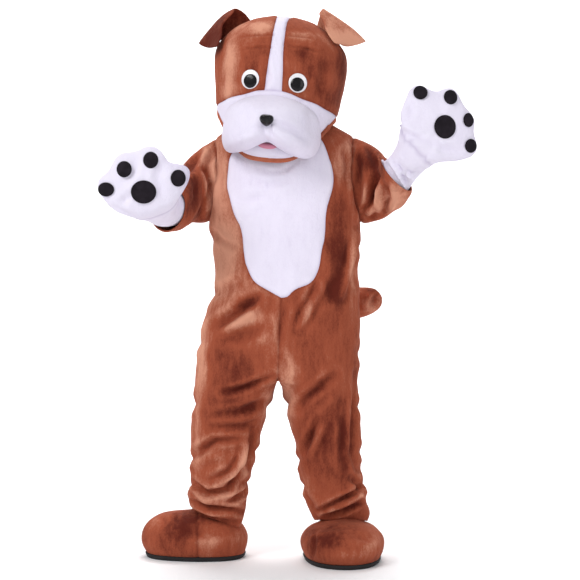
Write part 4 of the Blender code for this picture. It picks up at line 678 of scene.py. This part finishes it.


# %% [markdown]
# ## Brushed patches and painted light
# Each row is a patch of lighter or darker pile: the middle of the patch, half its width,
# half its height, and how much lighter (or, below zero, darker) it looks. On the front a
# patch is partly where the pile lies another way and partly painted light and shade on the folds.

# %% Patch tables
# Front patches: partly the brushed look of the pile, partly painted highlight on fold ridges and
# painted shade in the troughs beside them.
FRONT_NAP_AND_PAINTED_LIGHT = [
    *patches("trunk", (215, 175, 12, 34, 1.00), (224, 255, 15, 42, 1.10),
             (233, 300, 18, 10, 0.30), (246, 303, 16, 7, -0.80), (246, 318, 20, 6, 0.70),
             (340, 165, 10, 22, 0.55), (352, 145, 10, 9, 0.60), (338, 245, 13, 48, -0.70),
             (353, 262, 4, 36, 1.00), (336, 292, 9, 10, -0.60), (306, 305, 5, 20, 0.80)),
    *patches("legs", (201, 345, 7, 48, 0.90), (232, 352, 26, 22, -0.70),
             (233, 405, 28, 34, -0.90), (268, 415, 7, 32, 0.55), (214, 462, 14, 12, 0.05),
             (243, 458, 5, 18, 0.70), (196, 430, 4, 50, 0.50), (325, 340, 26, 34, -0.15),
             (289, 368, 10, 18, 0.70), (287, 405, 9, 34, 0.75), (328, 415, 20, 40, -0.35),
             (318, 432, 6, 26, 0.50), (345, 450, 8, 34, -0.70), (304, 492, 8, 26, 0.55),
             (222, 498, 26, 5, 0.35), (215, 520, 22, 8, -0.40), (350, 508, 16, 5, -0.50)),
    *patches("left_sleeve", (196, 192, 9, 28, -0.85), (204, 152, 6, 12, 0.60),
             (184, 166, 7, 8, -0.70), (178, 224, 9, 7, 0.20)),
    *patches("right_sleeve", (366, 160, 12, 22, -0.90), (393, 200, 12, 13, 0.90),
             (374, 208, 8, 8, 0.40), (378, 170, 7, 12, -0.50)),
    *patches("brow", (262, 26, 14, 8, 1.10), (230, 58, 9, 28, 0.90), (250, 72, 13, 14, -0.50),
             (256, 52, 12, 8, -0.30), (228, 90, 8, 10, 0.90), (268, 78, 4, 14, 0.50),
             (304, 36, 18, 6, 0.60), (320, 66, 22, 20, -0.40), (330, 98, 14, 12, -0.50),
             (300, 54, 10, 7, -0.70), (343, 60, 6, 30, -0.60), (215, 42, 9, 11, -0.90),
             (238, 20, 8, 9, 0.40), (345, 36, 14, 9, 0.90), (323, 22, 3, 10, -0.50)),
    *patches("left_boot", (150, 524, 9, 13, 0.50), (182, 530, 16, 14, -0.70),
             (205, 545, 22, 7, 0.35), (235, 545, 8, 8, 0.40)),
    *patches("right_boot", (312, 545, 7, 12, -0.40), (332, 540, 16, 10, -0.70),
             (374, 545, 11, 12, 0.40), (350, 553, 18, 5, 0.30)),
    *patches("tail", (372, 290, 8, 3, -0.70), (370, 307, 7, 8, 0.70)),
    (0.118, -1.030, 0.045, 0.090, -0.60),
]
BACK_NAP = [
    (-0.150, -0.150, 0.070, 0.100, 0.60), (0.150, -0.170, 0.070, 0.110, -0.50),
    (-0.120, -0.400, 0.080, 0.120, -0.40), (0.130, -0.420, 0.070, 0.120, 0.70),
    (-0.160, -0.640, 0.080, 0.060, 0.60), (0.120, -0.660, 0.080, 0.060, -0.50),
    (-0.210, -0.850, 0.060, 0.110, -0.60), (0.160, -0.880, 0.060, 0.120, 0.60),
    (-0.230, -1.080, 0.060, 0.060, 0.50), (0.180, -1.110, 0.060, 0.070, -0.50),
    (-0.110, 0.260, 0.070, 0.080, 0.70), (0.100, 0.180, 0.080, 0.090, -0.60),
    (-0.310, -0.140, 0.050, 0.060, -0.50), (0.320, -0.140, 0.050, 0.060, 0.50),
    (-0.260, -1.310, 0.060, 0.040, 0.50), (0.190, -1.310, 0.060, 0.040, -0.40),
]
PANEL_NAP = {"suit_front_left": 0.10, "suit_front_right": -0.12, "crown_left": -0.05,
             "crown_right": -0.10, "suit_sleeve_left": -0.10, "suit_sleeve_right": 0.0,
             "ear_left": -0.75, "ear_right": 0.75, "boot_vamp_left": -0.25,
             "boot_vamp_right": -0.2}


def brush_and_painted_light(points, facing, start=0.0):
    """How light the pile looks at each point, from its brushed patches and from painted light and
    shade.
    """
    total = np.full(len(points), start)
    for table, sign in ((FRONT_NAP_AND_PAINTED_LIGHT, -1.0), (BACK_NAP, 1.0)):
        share = ease(facing[:, 1] * sign, -0.15, 0.25)
        for x, z, wide, tall, strength in table:
            off = ((points[:, 0] - x) / wide) ** 2 + ((points[:, 2] - z) / tall) ** 2
            total += share * strength * np.exp(-off)
    return total


# %% [markdown]
# ## From skin to pieces
# Every seam draws the pile down into a groove. Then the skin is cut along its seams, each
# piece gets its wall back on the inside, and it takes the finish of its own cloth.

# %% Grooves, walls and pieces
GROOVE = 0.0022
GROOVE_WIDE = 0.0055


def shape(cloth, table, waves, wave_size, calm=0.02):
    """Folds, soft unevenness and seam grooves, easier near the open edges."""
    before = cloth.points.copy()
    add_folds(cloth, table)
    if waves:
        swell = np.array([noise.noise(Vector(point) / wave_size) for point in before])
        cloth.points += cloth.facing * (swell * waves)[:, None]
    edge = ease(cloth.reach(cloth.open, calm), 0.0, calm)
    cloth.points = before + (cloth.points - before) * edge[:, None]
    gap = cloth.reach(cloth.seams, 0.05)
    groove = np.exp(-(gap / GROOVE_WIDE) ** 2)
    lip = np.exp(-((gap - 2.2 * GROOVE_WIDE) / GROOVE_WIDE) ** 2)
    cloth.points += cloth.facing * ((0.3 * lip - groove) * GROOVE)[:, None]
    # Painted shade: the groove also darkens the colour along each seam.
    cloth.seam = groove
    cloth.turn()


PIECES = {}
SLOT_OF = {}
for slot_name, members in {
    "plush_brown": ["suit_front_left", "suit_front_right", "suit_back_left",
                    "suit_back_right", "suit_sleeve_left", "suit_sleeve_right", "crown_left",
                    "crown_right", "head_back_left", "head_back_right", "ear_left",
                    "ear_right", "tail", "boot_vamp_left", "boot_vamp_right",
                    "boot_heel_left", "boot_heel_right", "placket"],
    "plush_white": ["suit_belly", "blaze", "lower_face", "muzzle", "chin", "mitt_palm_left",
                    "mitt_palm_right", "mitt_back_left", "mitt_back_right",
                    "mitt_cuff_left", "mitt_cuff_right"],
    "band_brown": ["neck_band"],
    "plush_pink": ["tongue"],
    "felt_black": ["pad_%s_%d" % (side, k) for side in ("left", "right") for k in range(1, 6)],
    "gloss_black": ["nose", "pupil_left", "pupil_right"],
    "gloss_white": ["eye_left", "eye_right"],
    "sole_black": ["sole_left", "sole_right"],
}.items():
    for member in members:
        SLOT_OF[member] = slot_name


def finish_piece(name, points, faces, values):
    """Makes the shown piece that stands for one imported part."""
    mesh = bpy.data.meshes.new("soft_" + name)
    mesh.from_pydata([tuple(point) for point in points], [], faces)
    mesh.update()
    mesh.shade_smooth()
    mesh.set_sharp_from_angle(angle=math.radians(62.0))
    for key, numbers in values.items():
        layer = mesh.attributes.new(key, "FLOAT", "POINT")
        layer.data.foreach_set("value", np.asarray(numbers, dtype=np.float32))
    piece = bpy.data.objects.new("soft_" + name, mesh)
    scene.collection.objects.link(piece)
    mesh.materials.append(FINISHES[SLOT_OF[name]])
    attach(piece, "root")
    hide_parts(name)
    PIECES[name] = piece
    return piece


def cut_out(cloth, wall):
    """Cuts the skin along its seams and gives every panel its inner side and rim."""
    for number, name in enumerate(cloth.names):
        chosen = [face for face, panel in zip(cloth.faces, cloth.panel) if panel == number]
        used = sorted({v for face in chosen for v in face})
        place = {v: k for k, v in enumerate(used)}
        count = len(used)
        outer = cloth.points[used]
        inner = outer - cloth.facing[used] * wall
        faces = [tuple(place[v] for v in face) for face in chosen]
        single = {}
        for face in faces:
            for a, b in zip(face, face[1:] + face[:1]):
                if (b, a) in single:
                    del single[(b, a)]
                else:
                    single[(a, b)] = True
        back = [tuple(v + count for v in reversed(face)) for face in faces]
        rim = [(b, a, a + count, b + count) for a, b in single]
        nap_and_painted_light = brush_and_painted_light(outer, cloth.facing[used], PANEL_NAP.get(name, 0.0)) + cloth.nap_and_painted_light[used]
        twice = {"nap_and_painted_light": nap_and_painted_light, "seam": cloth.seam[used], "fold": cloth.fold[used]}
        twice = {key: np.concatenate([value, value]) for key, value in twice.items()}
        area = np.linalg.norm(np.cross(
            outer[[f[2] for f in faces]] - outer[[f[0] for f in faces]],
            outer[[f[-1] for f in faces]] - outer[[f[1] for f in faces]]), axis=1).sum() / 2.0
        piece = finish_piece(name, np.concatenate([outer, inner]), faces + back + rim, twice)
        piece["cloth_area"] = float(area)
        print("  ", name, "faces", len(piece.data.polygons), "area", round(float(area), 4))


# %% [markdown]
# ## The suit
# Two fronts with their leg fronts, a belly, two backs and two sleeves make one loose
# garment. It bags at the hips, knees and ankles and is pulled straight over the chest.

# %% Shape the suit
SUIT = ["suit_front_left", "suit_front_right", "suit_belly", "suit_back_left",
        "suit_back_right", "suit_sleeve_left", "suit_sleeve_right"]
SUIT_WALL = 0.003
suit = Cloth(sewn(SUIT, SUIT_WALL, 3), SUIT)
suit.soften(6)
suit.run_smooth(suit.seams, 70)
shape(suit, SUIT_FOLDS, 0.0060, 0.065)
HEM_LEVEL = -1.10
HEM_ROLL = 0.009
HEM_DROP = 0.006
HEM_WIDE = 0.028
hems = [edge for edge in suit.open if suit.points[edge[0]][2] < HEM_LEVEL]
rolled = (1.0 - suit.reach(hems, HEM_WIDE) / HEM_WIDE) ** 2
suit.points -= suit.facing * (rolled * HEM_ROLL)[:, None]
suit.points[:, 2] -= rolled * HEM_DROP
WRIST_REACH = 0.27
WRIST_ROLL = 0.006
WRIST_WIDE = 0.022
LOWEST_WRIST = -0.45
wrists = [edge for edge in suit.open if abs(suit.points[edge[0]][0]) > WRIST_REACH
          and suit.points[edge[0]][2] > LOWEST_WRIST]
rolled = (1.0 - suit.reach(wrists, WRIST_WIDE) / WRIST_WIDE) ** 2
suit.points -= suit.facing * (rolled * WRIST_ROLL)[:, None]
suit.turn()
suit.soften(1, 0.3)
cut_out(suit, SUIT_WALL)

# %% [markdown]
# ## The head
# Plush over foam keeps a smooth dome. The white blaze and the lower face are sewn in, and
# a brown band edges the neck.

# %% Shape the head
HEAD_PANELS = ["crown_left", "crown_right", "blaze", "lower_face", "head_back_left",
               "head_back_right", "neck_band"]
HEAD_WALL = 0.008
HEAD_WELD = 0.0025
head = Cloth(sewn(HEAD_PANELS, HEAD_WALL, 3, HEAD_WELD), HEAD_PANELS)
head.soften(4)
head.run_smooth(head.open, 60)
head.run_smooth(head.seams, 120)
shape(head, HEAD_FOLDS, 0.0018, 0.05, 0.006)
cut_out(head, HEAD_WALL)

# %% [markdown]
# ## Mitts and boot covers
# A mitt is a padded palm and back with a cuff that goes up inside the sleeve. A boot cover
# is a vamp and a heel over the shoe, with a flat sole under it.

# %% Shape the mitts and boots
MITT_WALL = 0.0035
BOOT_WALL = 0.006
CUFF_SLACK = 0.005
MITT_SPREAD = 0.055
BOOT_SPREAD = 0.06


def spread_boot(points, side):
    """A boot cover is fuller round the foot than at the ankle."""
    low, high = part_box("sole_" + side)
    middle = np.array([(low[0] + high[0]) / 2.0, (low[1] + high[1]) / 2.0])
    share = 1.0 - ease(points[:, 2], -1.36, -1.24)
    points[:, :2] += (points[:, :2] - middle) * (share * BOOT_SPREAD)[:, None]


for side in ("left", "right"):
    parts = ["mitt_palm_" + side, "mitt_back_" + side, "mitt_cuff_" + side]
    mitt = Cloth(sewn(parts, MITT_WALL, 2), parts)
    mitt.run_smooth(mitt.seams, 14)
    low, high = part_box("pad_%s_5" % side)
    palm = np.array([(low[k] + high[k]) / 2.0 for k in range(3)])
    wide = ease(np.linalg.norm(mitt.points - palm, axis=1), 0.05, 0.12)
    away = mitt.points - palm
    away[:, 1] = 0.0
    cuffed = np.zeros(len(mitt.points), bool)
    for face, panel in zip(mitt.faces, mitt.panel):
        if mitt.names[panel] == "mitt_cuff_" + side:
            cuffed[list(face)] = True
    wrist = [edge for edge in mitt.seams if cuffed[edge[0]] and cuffed[edge[1]]]
    fuller = wide * ease(mitt.reach(wrist, 0.06), 0.0, 0.035) * ~cuffed
    mitt.points += away * (fuller * MITT_SPREAD)[:, None]
    mitt.turn()
    mitt.soften(5)
    shape(mitt, MITT_FOLDS, 0.0015, 0.04)
    slack = ease(mitt.reach(wrist, 0.06), 0.0, 0.05) * cuffed
    mitt.points -= mitt.facing * (slack * CUFF_SLACK)[:, None]
    mitt.turn()
    cut_out(mitt, MITT_WALL)
    parts = ["boot_vamp_" + side, "boot_heel_" + side]
    boot = Cloth(sewn(parts, BOOT_WALL, 3), parts)
    boot.soften(2)
    shape(boot, BOOT_FOLDS, 0.002, 0.045, 0.01)
    spread_boot(boot.points, side)
    boot.turn()
    cut_out(boot, BOOT_WALL)

# %% [markdown]
# ## Stuffed and hard parts
# The muzzle, ears, tail, tongue, chin and pads are stuffed or felt, so their edges roll
# over. Eyes, nose and soles are moulded, and the eyes and soles keep crisper edges.

# %% Round off the other parts
SOLIDS = {
    "muzzle": (2, 0.0), "chin": (2, 0.0), "tongue": (2, 0.0), "tail": (3, 0.0),
    "ear_left": (2, 0.3), "ear_right": (2, 0.3), "placket": (2, 0.5),
    "nose": (3, 0.0), "eye_left": (2, 0.4), "eye_right": (2, 0.4),
    "sole_left": (2, 0.7), "sole_right": (2, 0.7),
}
SOLIDS.update({name: (2, 0.35) for name in SLOT_OF if name.startswith("pad_")})
PUPIL_HALF = 0.0222
PUPIL_RISE = 0.0030
PUPIL_OFF = 0.0010
PUPIL_RINGS = 8
PUPIL_SIDES = 40
CHIN_SPREAD = (1.09, 1.0, 1.12)
MUZZLE_FOLDS = [
    ("front", [(-0.046, 0.018), (-0.043, -0.005), (-0.041, -0.030)], 0.005, 0.004),
    ("front", [(-0.028, 0.012), (-0.080, -0.002), (-0.125, -0.022)], 0.010, 0.004),
    ("front", [(-0.020, 0.010), (0.030, -0.010), (0.075, -0.040)], 0.010, 0.004),
    ("front", [(-0.130, 0.060), (-0.110, 0.020), (-0.120, -0.015)], 0.012, 0.003),
    ("front", [(0.080, 0.060), (0.090, 0.015), (0.080, -0.020)], 0.012, 0.003),
]
TAIL_FOLDS = [
    ("front", [(0.290, -0.560), (0.310, -0.530), (0.330, -0.515)], 0.008, 0.008),
    ("back", [(0.285, -0.530), (0.300, -0.560), (0.310, -0.600)], 0.009, 0.006),
]
for name, (levels, crease) in SOLIDS.items():
    work = bmesh.new()
    work.from_mesh(nodes[name].data)
    bmesh.ops.remove_doubles(work, verts=work.verts, dist=1e-5)
    bmesh.ops.join_triangles(work, faces=work.faces, cmp_materials=False,
                             angle_face_threshold=0.5, angle_shape_threshold=1.0)
    layer = work.edges.layers.float.new("crease_edge")
    for edge in work.edges:
        if len(edge.link_faces) == 2 and edge.calc_face_angle(0.0) > 0.8:
            edge[layer] = crease
    mesh = bpy.data.meshes.new("part")
    work.to_mesh(mesh)
    work.free()
    mesh = finer(mesh, levels)
    solid = Cloth(mesh, [name])
    if name == "muzzle":
        add_folds(solid, MUZZLE_FOLDS)
    if name == "tail":
        add_folds(solid, TAIL_FOLDS)
    if name.startswith("sole_"):
        spread_boot(solid.points, name[5:])
    if name == "chin":
        middle = solid.points.mean(axis=0)
        solid.points = middle + (solid.points - middle) * np.array(CHIN_SPREAD)
    solid.turn()
    nap_and_painted_light = brush_and_painted_light(solid.points, solid.facing, PANEL_NAP.get(name, 0.0))
    finish_piece(name, solid.points, solid.faces,
                 {"nap_and_painted_light": nap_and_painted_light, "seam": solid.seam, "fold": solid.fold})
for side in ("left", "right"):
    eye = PIECES["eye_" + side].data
    ball = np.array([v.co for v in eye.vertices])
    way = np.linalg.svd(ball - ball.mean(axis=0), full_matrices=False)[2][2]
    way = Vector(way if way[1] < 0.0 else -way)
    across = way.cross(Vector((0.0, 0.0, 1.0))).normalized()
    rise = across.cross(way)
    low, high = (Vector(corner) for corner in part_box("pupil_" + side))
    tree = BVHTree.FromPolygons([v.co for v in eye.vertices],
                                [tuple(face.vertices) for face in eye.polygons])
    front = []
    back = []
    for k in range(PUPIL_RINGS + 1):
        share = k / PUPIL_RINGS
        for i in range(PUPIL_SIDES if k else 1):
            turn = 2.0 * math.pi * i / PUPIL_SIDES
            spot = (low + high) / 2.0 + (across * math.cos(turn) + rise * math.sin(turn)) * (
                share * PUPIL_HALF)
            hit = tree.ray_cast(spot + way * 0.05, -way)[0]
            seat = (hit if hit is not None else spot) + way * PUPIL_OFF
            front.append(seat + way * (PUPIL_RISE * math.sqrt(max(1.0 - share ** 3, 0.0))))
            back.append(seat)
    rings = [[0]] + [[1 + (k - 1) * PUPIL_SIDES + i for i in range(PUPIL_SIDES)]
                     for k in range(1, PUPIL_RINGS + 1)]
    faces = [(0, b, a) for a, b in zip(rings[1], rings[1][1:] + rings[1][:1])]
    for inner, outer in zip(rings[1:], rings[2:]):
        for i in range(PUPIL_SIDES):
            j = (i + 1) % PUPIL_SIDES
            faces.append((inner[i], inner[j], outer[j], outer[i]))
    under = [tuple(v + len(front) for v in reversed(face)) for face in faces]
    edge = rings[-1]
    rim = [(edge[i], edge[(i + 1) % PUPIL_SIDES], edge[(i + 1) % PUPIL_SIDES] + len(front),
            edge[i] + len(front)) for i in range(PUPIL_SIDES)]
    none = np.zeros(2 * len(front))
    finish_piece("pupil_" + side, front + back, faces + under + rim,
                 {"nap_and_painted_light": none, "seam": none, "fold": none})
print("pieces", len(PIECES))

# %% [markdown]
# ## Facts of the cloth
# Each cut piece of cloth keeps its area, measured on the piece when it is cut out.

# %% [markdown]
# ## Light and floor
# A pale floor curves up behind the suit. A wide soft light stands in front on the upper
# left, a weaker one on the right, and the pale surroundings fill the shade.

# %% Build the studio
FLOOR = -1.40
sweep = [(-9.0, 0.0), (5.2, 0.0), (5.9, 0.06), (6.5, 0.3), (7.0, 0.8), (7.2, 1.6), (7.25, 8.0)]
half = 9.0
floor_mesh = bpy.data.meshes.new("floor")
floor_mesh.from_pydata([(x, y, FLOOR + z) for y, z in sweep for x in (-half, half)], [],
                       [(2 * k, 2 * k + 1, 2 * k + 3, 2 * k + 2) for k in range(len(sweep) - 1)])
floor_mesh.shade_smooth()
floor = bpy.data.objects.new("floor", floor_mesh)
scene.collection.objects.link(floor)
paper = Finish("pale_floor", Roughness=0.8, Specular_IOR_Level=0.1)
paper.give("Base Color", paper.mix(paper.cloud(0.5), rgba(247, 247, 248), rgba(250, 250, 251)))
floor_mesh.materials.append(paper.material)
ROOM_LIGHT = 0.46
LIGHTS = [
    ("key", (-2.9, -3.4, 2.5), (0.0, 0.0, -0.4), 2.0, 135.0),
    ("fill", (3.2, -3.4, 0.6), (0.0, 0.0, -0.4), 3.0, 42.0),
    ("top", (0.0, 1.6, 3.4), (0.0, 0.3, -0.4), 2.5, 40.0),
    ("backdrop", (0.0, 2.6, 4.6), (0.0, 7.2, 0.6), 4.0, 520.0),
]
for name, place, aim, size, power in LIGHTS:
    data = bpy.data.lights.new(name, "AREA")
    data.size = size
    data.energy = power
    lamp = bpy.data.objects.new(name, data)
    scene.collection.objects.link(lamp)
    lamp.location = place
    lamp.rotation_euler = (Vector(aim) - Vector(place)).to_track_quat("-Z", "Y").to_euler()
world = bpy.data.worlds.new("pale_room")
world.use_nodes = True
world.node_tree.nodes["Background"].inputs[0].default_value = (0.97, 0.98, 1.0, 1.0)
world.node_tree.nodes["Background"].inputs[1].default_value = ROOM_LIGHT
scene.world = world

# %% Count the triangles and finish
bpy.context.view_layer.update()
triangles = {name: sum(len(face.vertices) - 2 for face in piece.data.polygons)
             for name, piece in PIECES.items()}
print("triangles", sum(triangles.values()), "largest", max(triangles, key=triangles.get),
      max(triangles.values()))
